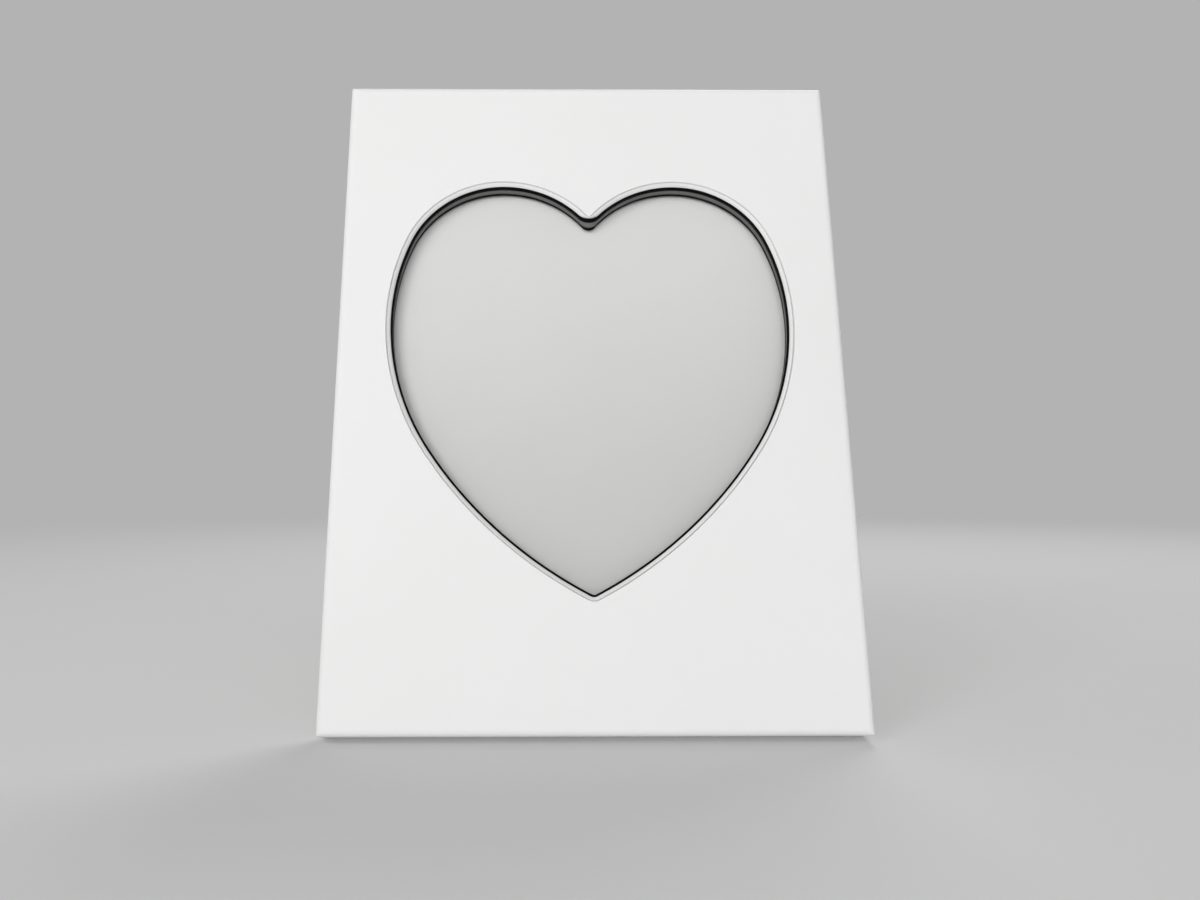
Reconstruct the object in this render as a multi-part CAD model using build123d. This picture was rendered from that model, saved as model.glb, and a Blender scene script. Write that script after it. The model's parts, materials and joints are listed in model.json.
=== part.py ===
from build123d import *
from collections import namedtuple
import math
import os

# Photo frame with a heart-shaped window, standing on its easel leg. Sizes are in millimetres.
# Each piece is drawn as it lies on the bench, face up: X across, Y up the frame from its bottom edge,
# Z = 0 on the face and negative behind it. Then all of them are tilted up as the frame stands.

# Heart window
heart_width = 119.0
heart_height = 127.7
lobe_spacing = 52.2
cleft_depth = 13.2
widest_drop = 44.8
tip_half_angle = 62.7
tip_radius = 2.0
shoulder_fullness = 0.613
flank_fullness = 0.266

# Cover of the lip over the print, on each side of the window
side_cover = 5.5
top_cover = 25.3
bottom_cover = 27.0

# Frame board
rim_width = 9.5
lip_thickness = 3.8
face_round = 2.0
back_round = 0.8
corner_round = 0.8
bevel_width = 1.4
bevel_depth = 0.9

# Dark trim in the window
liner_wall = 0.5
liner_flange = 3.0
liner_flange_thickness = 0.6

# Layers in the rebate, front to back
glazing_thickness = 1.5
card_thickness = 0.4
filler_thickness = 2.5
board_thickness = 3.0
board_inset = 0.1
layer_clearance = 0.5

# Turn buttons and their screws
button_thickness = 1.0
button_pivot_radius = 4.5
button_tip_radius = 3.2
button_reach = 15.0
button_inset = 40.0
button_rib_length = 9.0
button_rib_width = 2.2
button_rib_height = 0.4
screw_radius = 1.5
screw_length = 8.0
screw_point = 2.0
screw_head_radius = 3.0
screw_head_height = 1.8
screw_cross_length = 3.4
screw_cross_width = 0.8
screw_cross_depth = 1.0

# Wall pads
pad_radius = 3.5
pad_thickness = 1.6
pad_round = 0.5

# Easel hinge
hinge_drop = 64.0
leaf_width = 30.0
leaf_length = 20.0
fixed_leaf_thickness = 1.2
moving_leaf_thickness = 0.9
leaf_round = 2.5
pin_radius = 1.3
pin_head_radius = 1.8
pin_head_thickness = 0.6
knuckle_gap = 0.2
leaf_rivet_spacing = 18.0
leaf_rivet_inset = 6.0

# Rivets
rivet_radius = 1.2
rivet_head_radius = 2.4
rivet_head_height = 0.9
rivet_tail_radius = 1.9
rivet_tail_thickness = 0.6

# Easel leg
lean_angle = 15.0
stand_angle = 27.0
leg_thickness = 2.4
leg_top_width = 36.0
leg_foot_width = 60.0
leg_top_gap = 0.5
leg_top_round = 4.0

# Stay ribbon and its staples
ribbon_height = 42.0
ribbon_width = 10.0
ribbon_thickness = 0.4
ribbon_tab = 12.0
ribbon_bend = 1.2
staple_wire = 0.6
staple_overhang = 0.8
staple_depth = 1.6
staple_inset = 6.0

# Wall hanger
hanger_drop = 18.0
strap_width = 9.0
strap_tail = 14.0
strap_thickness = 0.6
strap_round = 3.0
strap_rivet_drop = 8.0
ring_width = 22.0
ring_height = 16.0
ring_wire_radius = 0.8
ring_round = 2.5

# Clearances
seat_clearance = 0.03
running_clearance = 0.06
button_clearance = 0.05
ring_clearance = 0.15

# Sizes that follow
print_width = heart_width + 2 * side_cover
print_height = heart_height + top_cover + bottom_cover
rebate_width = print_width + 2 * layer_clearance
rebate_height = print_height + 2 * layer_clearance
frame_width = rebate_width + 2 * rim_width
frame_height = rebate_height + 2 * rim_width
middle_height = frame_height / 2

# Depths behind the face
glazing_depth = lip_thickness + liner_flange_thickness
card_depth = glazing_depth + glazing_thickness
filler_depth = card_depth + card_thickness
board_depth = filler_depth + filler_thickness
board_back = board_depth + board_thickness
frame_depth = board_back + board_inset
button_front = frame_depth + button_clearance
button_back = button_front + button_thickness
screw_seat = button_back + button_clearance

# Places on the back
heart_top = rim_width + layer_clearance + bottom_cover + heart_height
board_top = rim_width + layer_clearance + print_height
button_x = (frame_width - rim_width) / 2
button_heights = {"lower": rim_width + button_inset, "upper": frame_height - rim_width - button_inset}
sides = {"left": -1, "right": 1}
levels = {"lower": -1, "upper": 1}
pin_height = board_top - hinge_drop
fixed_barrel_radius = pin_radius + seat_clearance + fixed_leaf_thickness
moving_barrel_radius = pin_radius + running_clearance + moving_leaf_thickness
pin_depth = board_back + fixed_barrel_radius
knuckle_length = leaf_width / 3
knuckle_reach = 2 * fixed_barrel_radius
leg_back = pin_depth + moving_barrel_radius - moving_leaf_thickness
leg_front = leg_back - leg_thickness
leg_top = pin_height - fixed_barrel_radius - leg_top_gap
strap_barrel_radius = ring_wire_radius + ring_clearance + strap_thickness
ring_pivot_height = board_top - hanger_drop
ring_pivot_depth = board_back + strap_barrel_radius

# Standing: the bench pieces tilt back, and the lowest edge of the frame's back meets the table
tilt = math.radians(lean_angle)
lift = (frame_depth - back_round) * math.sin(tilt) + back_round * (1 - math.cos(tilt))
stand_up = Pos(0, 0, lift) * Rot(X=90 - lean_angle)

# A reach that passes right through any piece
beyond = frame_height

Arc = namedtuple("Arc", "x y radius start end")


def heading_vector(heading):
    """Unit step along a heading in degrees."""
    return math.cos(math.radians(heading)), math.sin(math.radians(heading))


def clockwise_arc(x, y, heading, reach, turn):
    """Arc that leaves (x, y) along heading and turns clockwise, with tangents of length reach."""
    radius = reach / math.tan(math.radians(turn / 2))
    side_x, side_y = heading_vector(heading - 90)
    return Arc(x + radius * side_x, y + radius * side_y, radius, heading + 90, heading + 90 - turn)


def arc_pair(start, start_heading, end, end_heading, reach):
    """Two arcs, tangent to each other, from start to end; reach is the first one's tangent length."""
    out_x, out_y = heading_vector(start_heading)
    in_x, in_y = heading_vector(end_heading)
    gap_x = end[0] - start[0] - reach * out_x
    gap_y = end[1] - start[1] - reach * out_y
    last_reach = (gap_x**2 + gap_y**2 - reach**2) / (2 * (gap_x * in_x + gap_y * in_y + reach))
    middle = math.degrees(math.atan2(gap_y - last_reach * in_y, gap_x - last_reach * in_x))
    first = clockwise_arc(*start, start_heading, reach, start_heading - middle)
    angle_x, angle_y = heading_vector(first.end)
    joint_x = first.x + first.radius * angle_x
    joint_y = first.y + first.radius * angle_y
    return first, clockwise_arc(joint_x, joint_y, middle, last_reach, middle - end_heading)


def heart_arcs():
    """Right half of the window's outline as arcs, from the cleft round to the tip."""
    lobe_x = lobe_spacing / 2
    inner_radius = (lobe_x**2 + cleft_depth**2) / (2 * cleft_depth)
    inner = Arc(lobe_x, heart_top - inner_radius, inner_radius, None, 90)
    widest = (heart_width / 2, heart_top - widest_drop)
    shoulder_reach = shoulder_fullness * (heart_width / 2 - lobe_x)
    flank_reach = flank_fullness * (heart_height - widest_drop)
    tip = (0, heart_top - heart_height)
    shoulder = arc_pair((lobe_x, heart_top), 0, widest, -90, shoulder_reach)
    flank = arc_pair(widest, -90, tip, -90 - tip_half_angle, flank_reach)
    return [inner, *shoulder, *flank]


def arc_edge(x, y, radius, start, end):
    """Edge along an arc between two angles."""
    points = []
    for angle in (start, (start + end) / 2, end):
        step_x, step_y = heading_vector(angle)
        points.append((x + radius * step_x, y + radius * step_y))
    return ThreePointArc(*points)


def heart_face(offset, z):
    """Face of the window's outline, moved outwards by offset, at height z."""
    *arcs, flank = heart_arcs()
    inner = arcs.pop(0)
    inner_radius = inner.radius + offset
    cleft_angle = 180 - math.degrees(math.acos(inner.x / inner_radius))
    tip_y = flank.y - math.sqrt((flank.radius - tip_radius) ** 2 - flank.x**2)
    tip_angle = math.degrees(math.atan2(tip_y - flank.y, -flank.x))
    right = [Arc(inner.x, inner.y, inner.radius, cleft_angle, inner.end), *arcs]
    right.append(Arc(flank.x, flank.y, flank.radius, flank.start, tip_angle))
    edges = [arc_edge(arc.x, arc.y, arc.radius + offset, arc.start, arc.end) for arc in right]
    edges.append(arc_edge(0, tip_y, tip_radius + offset, tip_angle, -180 - tip_angle))
    for arc in reversed(right):
        edges.append(arc_edge(-arc.x, arc.y, arc.radius + offset, 180 - arc.end, 180 - arc.start))
    return Pos(0, 0, z) * make_face(edges)


def heart_prism(offset, front, back):
    """Heart-shaped block between two depths behind the face."""
    return extrude(heart_face(offset, -front), back - front, dir=(0, 0, -1))


def block(width, height, front, back, x=0, y=0):
    """Rectangular block centred on (x, y), between two depths behind the face."""
    return Pos(x, y, -(front + back) / 2) * Box(width, height, back - front)


def cylinder(radius, front, back, x, y):
    """Round block with its axis along the depth."""
    return Pos(x, y, -(front + back) / 2) * Cylinder(radius, back - front)


def bar(radius, length, height, depth):
    """Round bar along X, centred on the frame's middle line."""
    return Pos(0, height, -depth) * Rot(Y=90) * Cylinder(radius, length)


def dome_line(radius, height):
    """Round profile of a domed head, from its rim to its crown below the origin."""
    ball_radius = (radius**2 + height**2) / (2 * height)
    return RadiusArc((radius, 0), (0, -height), ball_radius)


def corner_waste(x_side, y_side):
    """Waste outside the small radius of one corner of the board, as seen from the front."""
    x = x_side * (frame_width / 2 - corner_round)
    y = middle_height + y_side * (frame_height / 2 - corner_round)
    front = -corner_round
    back = frame_depth + corner_round
    side = 2 * corner_round
    waste = block(side, side, front, back, x + x_side * corner_round, y + y_side * corner_round)
    return waste - cylinder(corner_round, front, back, x, y)


def front_frame():
    """Lacquered board with its heart window, its bevel, the rebate and the pilot holes of the screws."""
    board = block(frame_width, frame_height, 0, frame_depth, y=middle_height)
    board = fillet(board.edges().group_by(Axis.Z)[-1], face_round)
    board = fillet(board.edges().group_by(Axis.Z)[0], back_round)
    for x_side in sides.values():
        for y_side in levels.values():
            board -= corner_waste(x_side, y_side)
    board -= block(rebate_width, rebate_height, lip_thickness, frame_depth, y=middle_height)
    board -= heart_prism(0, 0, lip_thickness)
    board -= loft([heart_face(bevel_width, 0), heart_face(0, -bevel_depth)], ruled=True)
    for x, y in button_pivots().values():
        pilot_front = screw_seat - screw_length - seat_clearance
        board -= cylinder(screw_radius + seat_clearance, pilot_front, frame_depth, x, y)
    return board


def heart_liner():
    """Dark trim: a wall inside the window and a flange between the lip and the glazing."""
    outside = -seat_clearance
    inside = outside - liner_wall
    trim = heart_prism(outside, bevel_depth, lip_thickness)
    trim += heart_prism(liner_flange, lip_thickness, glazing_depth)
    return trim - heart_prism(inside, bevel_depth, glazing_depth)


def layer(front, back):
    """Sheet of the print's size that lies in the rebate."""
    return block(print_width, print_height, front, back, y=middle_height)


def back_board():
    """Hardboard back with the holes of the rivets and the staples."""
    board = layer(board_depth, board_back)
    for hole in fixed_leaf_rivets(rivet_hole) + strap_rivets(rivet_hole):
        board -= hole
    return board - ribbon_staple_board()


def button_pivots():
    """Screw positions of the turn buttons, by corner."""
    pivots = {}
    for level, y in button_heights.items():
        for side, sign in sides.items():
            pivots[f"{level}_{side}"] = (sign * button_x, y)
    return pivots


def turn_button(x, y):
    """Stamped steel button, its tip over the back board, with a pressed rib along the middle."""
    inward = -math.copysign(1, x)
    tip_x = x + inward * button_reach
    pivot_end = Pos(x, y) * Circle(button_pivot_radius)
    tip_end = Pos(tip_x, y) * Circle(button_tip_radius)
    outline = make_hull(pivot_end.edges() + tip_end.edges())
    plate = extrude(Pos(0, 0, -button_front) * outline, button_thickness, dir=(0, 0, -1))
    rib_x = x + inward * (button_reach + button_pivot_radius) / 2
    rib = Pos(rib_x, y, -button_back) * SlotOverall(button_rib_length, button_rib_width)
    plate += extrude(rib, button_rib_height, dir=(0, 0, -1))
    return plate - cylinder(screw_radius + running_clearance, button_front, button_back, x, y)


def turn_button_screws():
    """Pan-head screws with a cross recess, one in each turn button."""
    under_head = (screw_radius, 0)
    profile = [
        Line((0, screw_length), (screw_radius, screw_length - screw_point)),
        Line((screw_radius, screw_length - screw_point), under_head),
        Line(under_head, (screw_head_radius, 0)),
        dome_line(screw_head_radius, screw_head_height),
        Line((0, -screw_head_height), (0, screw_length)),
    ]
    screw = revolve(Plane.XZ * make_face(profile), Axis.Z)
    slot = Box(screw_cross_length, screw_cross_width, screw_cross_depth)
    slot_z = screw_cross_depth / 2 - screw_head_height
    for turn in (0, 90):
        screw -= Pos(0, 0, slot_z) * Rot(Z=turn) * slot
    return [Pos(x, y, -screw_seat) * screw for x, y in button_pivots().values()]


def bumper_pad(x_side, y_side):
    """Soft round pad on a corner of the frame's back."""
    x = x_side * (frame_width - rim_width) / 2
    y = middle_height + y_side * (frame_height - rim_width) / 2
    pad = cylinder(pad_radius, frame_depth, frame_depth + pad_thickness, x, y)
    return fillet(pad.edges().group_by(Axis.Z)[0], pad_round)


def rivet(x, y, seat, front):
    """Rivet with its head behind the depth seat and its tail flush with the depth front."""
    grip = seat - front
    tail_back = grip - rivet_tail_thickness
    outline = [
        (0, grip),
        (rivet_tail_radius, grip),
        (rivet_tail_radius, tail_back),
        (rivet_radius, tail_back),
        (rivet_radius, 0),
        (rivet_head_radius, 0),
    ]
    profile = [
        Polyline(*outline),
        dome_line(rivet_head_radius, rivet_head_height),
        Line((0, -rivet_head_height), (0, grip)),
    ]
    return Pos(x, y, -seat) * revolve(Plane.XZ * make_face(profile), Axis.Z)


def rivet_hole(x, y, seat, front):
    """Hole that a rivet fills, with room for its tail."""
    hole = cylinder(rivet_radius + seat_clearance, front, seat, x, y)
    return hole + cylinder(rivet_tail_radius + seat_clearance, front, front + rivet_tail_thickness, x, y)


def fixed_leaf_rivets(shape):
    """Rivets, or the holes for them, through the fixed leaf and the back board."""
    y = pin_height + leaf_length - leaf_rivet_inset
    seat = board_back + fixed_leaf_thickness
    return [shape(side * leaf_rivet_spacing / 2, y, seat, board_depth) for side in sides.values()]


def moving_leaf_rivets(shape):
    """Rivets, or the holes for them, through the moving leaf and the leg, in the leg's folded place."""
    y = pin_height - leaf_length + leaf_rivet_inset
    seat = leg_back + moving_leaf_thickness
    return [shape(side * leaf_rivet_spacing / 2, y, seat, leg_front) for side in sides.values()]


def strap_rivets(shape):
    """Rivet, or the hole for it, through the hanger's strap and the back board."""
    y = ring_pivot_height - strap_rivet_drop
    return [shape(0, y, board_back + strap_thickness, board_depth)]


def leaf_plate(direction, front, back):
    """Plate of a hinge leaf that leaves the hinge axis up or down the back, its far corners rounded."""
    plate = block(leaf_width, leaf_length, front, back, y=pin_height + direction * leaf_length / 2)
    corners = plate.edges().filter_by(Axis.Z).sort_by(Axis.Y)
    return fillet(corners[-2:] if direction > 0 else corners[:2], leaf_round)


def knuckle_room(width, x=0):
    """Space round the hinge axis that one leaf leaves for the other's knuckle."""
    return block(width, 2 * knuckle_reach, 0, beyond, x, pin_height)


def hinge_fixed_leaf():
    """Leaf on the back board, rolled into the two outer knuckles."""
    leaf = leaf_plate(1, board_back, board_back + fixed_leaf_thickness)
    leaf += bar(fixed_barrel_radius, leaf_width, pin_height, pin_depth)
    leaf -= bar(pin_radius + seat_clearance, leaf_width, pin_height, pin_depth)
    leaf -= knuckle_room(knuckle_length + knuckle_gap)
    for hole in fixed_leaf_rivets(rivet_hole):
        leaf -= hole
    return leaf


def hinge_moving_leaf():
    """Leaf on the leg, rolled into the middle knuckle, in the leg's folded place."""
    leaf = leaf_plate(-1, leg_back, leg_back + moving_leaf_thickness)
    leaf += bar(moving_barrel_radius, leaf_width, pin_height, pin_depth)
    leaf -= bar(pin_radius + running_clearance, leaf_width, pin_height, pin_depth)
    for side in sides.values():
        leaf -= knuckle_room(leaf_width, side * (leaf_width + knuckle_length - knuckle_gap) / 2)
    for hole in moving_leaf_rivets(rivet_hole):
        leaf -= hole
    return leaf


def hinge_pin():
    """Hinge pin with a peened head at each end."""
    pin = bar(pin_radius, leaf_width, pin_height, pin_depth)
    for side in sides.values():
        x = side * (leaf_width + pin_head_thickness) / 2
        pin += Pos(x, 0, 0) * bar(pin_head_radius, pin_head_thickness, pin_height, pin_depth)
    return pin


def stand_leg():
    """Tapered easel leg in its folded place, still longer than it will be once its foot is cut."""
    half_top = leg_top_width / 2
    half_foot = leg_foot_width / 2
    foot_y = -leg_back
    outline = [(-half_top, leg_top), (half_top, leg_top), (half_foot, foot_y), (-half_foot, foot_y)]
    plate = Pos(0, 0, -leg_front) * make_face(Polyline(*outline, close=True))
    leg = extrude(plate, leg_thickness, dir=(0, 0, -1))
    top_corners = leg.edges().filter_by(Axis.Z).group_by(Axis.Y)[-1]
    leg = fillet(top_corners, leg_top_round)
    for hole in moving_leaf_rivets(rivet_hole):
        leg -= hole
    return leg - ribbon_staple_leg()


def staple(y, front, direction):
    """Staple across the ribbon; its crown stands off the surface by the ribbon and its legs go in."""
    width = ribbon_width + 2 * (staple_overhang + staple_wire)
    crown_far = front + direction * (ribbon_thickness + staple_wire)
    leg_end = front - direction * staple_depth
    crown_near = front + direction * ribbon_thickness
    wire = block(width, staple_wire, *sorted((crown_near, crown_far)), y=y)
    for side in sides.values():
        x = side * (width - staple_wire) / 2
        wire += block(staple_wire, staple_wire, *sorted((leg_end, crown_far)), x, y)
    return wire


def ribbon_staple_board():
    """Staple over the ribbon's lower tab, in the back board."""
    return staple(ribbon_height - staple_inset, board_back, 1)


def ribbon_staple_leg():
    """Staple over the ribbon's upper tab, in the leg's folded place."""
    return staple(ribbon_height + staple_inset, leg_front, -1)


def opened(piece):
    """A piece of the leg turned from its folded place to the open one."""
    return piece.rotate(Axis((0, pin_height, -pin_depth), (1, 0, 0)), stand_angle)


def stay_ribbon():
    """Taut ribbon: a tab on the back board, the span, and a tab on the open leg."""
    board_z = -board_back - ribbon_thickness / 2
    leg_z = -leg_front + ribbon_thickness / 2
    board_points = [(0, ribbon_height - ribbon_tab, board_z), (0, ribbon_height, board_z)]
    leg_line = opened(Line((0, ribbon_height, leg_z), (0, ribbon_height + ribbon_tab, leg_z)))
    path = FilletPolyline(*board_points, leg_line @ 0, leg_line @ 1, radius=ribbon_bend)
    section = Plane(path @ 0, x_dir=(1, 0, 0), z_dir=path % 0) * Rectangle(ribbon_width, ribbon_thickness)
    return sweep(section, path)


def hanger_strap():
    """Steel strap folded round the ring's bar, its tail flat on the back board."""
    back = board_back + strap_thickness
    tail_y = ring_pivot_height - strap_tail / 2
    strap = block(strap_width, strap_tail, board_back, back, y=tail_y)
    tail_end = strap.edges().filter_by(Axis.Z).group_by(Axis.Y)[0]
    strap = fillet(tail_end, strap_round)
    strap += bar(strap_barrel_radius, strap_width, ring_pivot_height, ring_pivot_depth)
    strap -= bar(ring_wire_radius + ring_clearance, strap_width, ring_pivot_height, ring_pivot_depth)
    for hole in strap_rivets(rivet_hole):
        strap -= hole
    return strap


def hanger_ring():
    """Triangular wire ring that hangs straight down from its strap."""
    half = ring_width / 2
    tip_y = ring_pivot_height - ring_height
    corners = [(half, ring_pivot_height), (0, tip_y), (-half, ring_pivot_height)]
    outline = FilletPolyline(*corners, radius=ring_round, close=True)
    section = Plane(outline @ 0, z_dir=outline % 0) * Circle(ring_wire_radius)
    ring = Pos(0, 0, -ring_pivot_depth) * sweep(section, outline)
    return ring.rotate(Axis((0, ring_pivot_height, -ring_pivot_depth), (1, 0, 0)), lean_angle)


def standing_leg():
    """Open leg in its standing place, its foot cut flat on the table."""
    table = Pos(0, 0, -beyond / 2) * Box(beyond, 2 * beyond, beyond)
    return stand_up * opened(stand_leg()) - table


def standing_pieces():
    """All pieces by name, each a list of solids, standing on the table."""
    bench = {
        "front_frame": [front_frame()],
        "heart_liner": [heart_liner()],
        "glazing": [layer(glazing_depth, card_depth)],
        "photo_card": [layer(card_depth, filler_depth)],
        "filler_card": [layer(filler_depth, board_depth)],
        "back_board": [back_board()],
        "turn_button_screws": turn_button_screws(),
        "hinge_fixed_leaf": [hinge_fixed_leaf()],
        "hinge_pin": [hinge_pin()],
        "hinge_fixed_rivets": fixed_leaf_rivets(rivet),
        "hinge_moving_leaf": [opened(hinge_moving_leaf())],
        "hinge_moving_rivets": [opened(piece) for piece in moving_leaf_rivets(rivet)],
        "stay_ribbon": [stay_ribbon()],
        "ribbon_staple_board": [ribbon_staple_board()],
        "ribbon_staple_leg": [opened(ribbon_staple_leg())],
        "hanger_strap": [hanger_strap()],
        "hanger_rivet": strap_rivets(rivet),
        "hanger_ring": [hanger_ring()],
    }
    for corner, (x, y) in button_pivots().items():
        bench[f"turn_button_{corner}"] = [turn_button(x, y)]
    for level, y_side in levels.items():
        for side, x_side in sides.items():
            bench[f"bumper_pad_{level}_{side}"] = [bumper_pad(x_side, y_side)]
    pieces = {name: [stand_up * solid for solid in solids] for name, solids in bench.items()}
    pieces["stand_leg"] = [standing_leg()]
    return pieces


def write_parts():
    """Centre the standing frame over the origin and write one file per piece."""
    pieces = standing_pieces()
    box = Compound([solid for solids in pieces.values() for solid in solids]).bounding_box()
    centre = Pos(0, -box.center().Y, 0)
    os.makedirs("parts", exist_ok=True)
    for name, solids in pieces.items():
        placed = [centre * solid for solid in solids]
        shape = placed[0] if len(placed) == 1 else Compound(placed)
        export_step(shape, f"parts/{name}.step")
    print(f"size {box.size.X:.2f} x {box.size.Y:.2f} x {box.size.Z:.2f}, lowest point {box.min.Z:.4f}")
    return centre * stand_up


def print_places(placing):
    """Print the axes of the moving pieces in the standing frame."""
    places = {"leg hinge": (0, pin_height, -pin_depth), "ring": (0, ring_pivot_height, -ring_pivot_depth)}
    for corner, (x, y) in button_pivots().items():
        places[f"button {corner}"] = (x, y, -button_front)
    for name, point in places.items():
        place = (placing * Pos(*point)).position
        print(f"{name}: {place.X:.4f}, {place.Y:.4f}, {place.Z:.4f}")


print_places(write_parts())
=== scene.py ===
"""Photo frame with a heart-shaped window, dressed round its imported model.

Pieces are drawn on a bench in millimetres, face up: X across, Y up the frame from its bottom edge, Z = 0 on
the face and negative behind it. Each finished mesh is then placed in the standing frame, in metres.
"""
import json
import logging
import math
from collections.abc import Callable, Iterable, Sequence
from dataclasses import dataclass
from enum import Enum

import bmesh
import bpy
from mathutils import Matrix, Vector


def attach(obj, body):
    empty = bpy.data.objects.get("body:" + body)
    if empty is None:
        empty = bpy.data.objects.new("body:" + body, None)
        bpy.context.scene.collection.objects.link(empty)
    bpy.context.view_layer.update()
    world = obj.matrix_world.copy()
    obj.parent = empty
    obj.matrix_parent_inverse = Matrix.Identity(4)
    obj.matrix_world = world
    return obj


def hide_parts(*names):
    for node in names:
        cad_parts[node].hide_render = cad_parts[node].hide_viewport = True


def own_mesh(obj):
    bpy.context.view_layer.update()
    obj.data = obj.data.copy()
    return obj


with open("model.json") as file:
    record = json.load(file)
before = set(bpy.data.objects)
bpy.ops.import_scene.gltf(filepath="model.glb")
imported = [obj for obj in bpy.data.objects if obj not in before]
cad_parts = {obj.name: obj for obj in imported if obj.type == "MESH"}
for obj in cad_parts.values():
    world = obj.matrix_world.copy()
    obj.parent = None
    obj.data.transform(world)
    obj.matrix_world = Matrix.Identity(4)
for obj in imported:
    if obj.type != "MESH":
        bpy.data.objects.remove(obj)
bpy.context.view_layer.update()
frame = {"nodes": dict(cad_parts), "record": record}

log = logging.getLogger("heart_frame")

Colour = tuple[float, float, float, float]
Profile = list[tuple[float, float]]
Material = bpy.types.Material
Mesh = bpy.types.Mesh
Piece = bpy.types.Object
Socket = bpy.types.NodeSocket
Value = float | Sequence[float] | Socket | list[Socket]

METRE = 1000.0  # in millimetres
NEAR = 1e-6  # differences below this count as none
ROUND_SIDES = 40  # sides of round heads, buttons and pads
HEAD_RINGS = 8  # rings of points in a domed head
UNDERSIDE = 0.01  # height up to which a point belongs to a head's flat underside
EDGE_STEPS = 3  # steps round the edge of a plate or disc
CROWN_SHARE = 0.4  # flat middle of a disc's top, as a share of its radius


class Slot(Enum):
    """Material slots of the part's record."""

    LACQUER = "white_lacquer"
    TRIM = "dark_trim"
    CLEAR = "clear_sheet"
    HARDBOARD = "hardboard"
    STEEL = "plated_steel"
    RIBBON = "woven_ribbon"
    PAD = "soft_pad"


class Body(Enum):
    """Bodies that the pieces ride on."""

    FRAME = "frame"
    LEG = "leg"
    RING = "hanger_ring"
    LOWER_LEFT_BUTTON = "turn_button_lower_left"
    LOWER_RIGHT_BUTTON = "turn_button_lower_right"
    UPPER_LEFT_BUTTON = "turn_button_upper_left"
    UPPER_RIGHT_BUTTON = "turn_button_upper_right"


class Side(Enum):
    """Left and right, as signs along X."""

    LEFT = -1
    RIGHT = 1


class Level(Enum):
    """Lower and upper, as signs along Y."""

    LOWER = -1
    UPPER = 1


class Path(Enum):
    """How the points that a tree starts from are joined."""

    NONE = "points only"
    OPEN = "open path"
    CLOSED = "closed path"


class Ray(Enum):
    """Kinds of light path."""

    CAMERA = "Is Camera Ray"
    GLOSSY = "Is Glossy Ray"
    TRANSMISSION = "Is Transmission Ray"
    SHADOW = "Is Shadow Ray"
    DIFFUSE = "Is Diffuse Ray"


# Placing


@dataclass(frozen=True)
class Layers:
    """Thicknesses of the layers behind the face, front to back."""

    lip: float = 3.8
    flange: float = 0.6
    glazing: float = 1.5
    card: float = 0.4
    filler: float = 2.5
    board: float = 3.0
    board_inset: float = 0.1

    @property
    def glass_front(self) -> float:
        """Depth of the glazing's front."""
        return self.lip + self.flange

    @property
    def board_back(self) -> float:
        """Depth of the back board's outer face."""
        return self.glass_front + self.glazing + self.card + self.filler + self.board

    @property
    def frame_back(self) -> float:
        """Depth of the frame's own back."""
        return self.board_back + self.board_inset


@dataclass(frozen=True)
class Bench:
    """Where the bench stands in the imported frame, and the layers that lie on it."""

    pin_height: float = 126.0
    pin_depth: float = 14.33
    stand_angle: float = 27.0
    layers: Layers = Layers()

    @staticmethod
    def joint(name: str) -> dict:
        """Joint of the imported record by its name."""
        return next(joint for joint in frame["record"]["behaviour"]["joints"] if joint["name"] == name)

    @property
    def pin(self) -> Vector:
        """Middle of the easel's hinge pin on the bench."""
        return Vector((0, self.pin_height, -self.pin_depth))

    @property
    def upright(self) -> Matrix:
        """Matrix that stands a bench piece up, leaning back as the turn buttons' axes do."""
        _, back_y, back_z = self.joint("turn_button_lower_left_turn")["axis"]
        turn = Matrix(((1, 0, 0), (0, -back_z, -back_y), (0, back_y, -back_z))).to_4x4()
        shrunk = turn @ Matrix.Scale(1 / METRE, 4)
        hinge = Vector(self.joint("leg_fold")["pos_m"])
        return Matrix.Translation(hinge - shrunk @ self.pin) @ shrunk

    @property
    def open_leg(self) -> Matrix:
        """Matrix that stands up a piece drawn on the folded leg and opens the leg."""
        swing = Matrix.Translation(self.pin) @ Matrix.Rotation(math.radians(self.stand_angle), 4, "X")
        return self.upright @ swing @ Matrix.Translation(-self.pin)


# Mesh drafting


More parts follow.
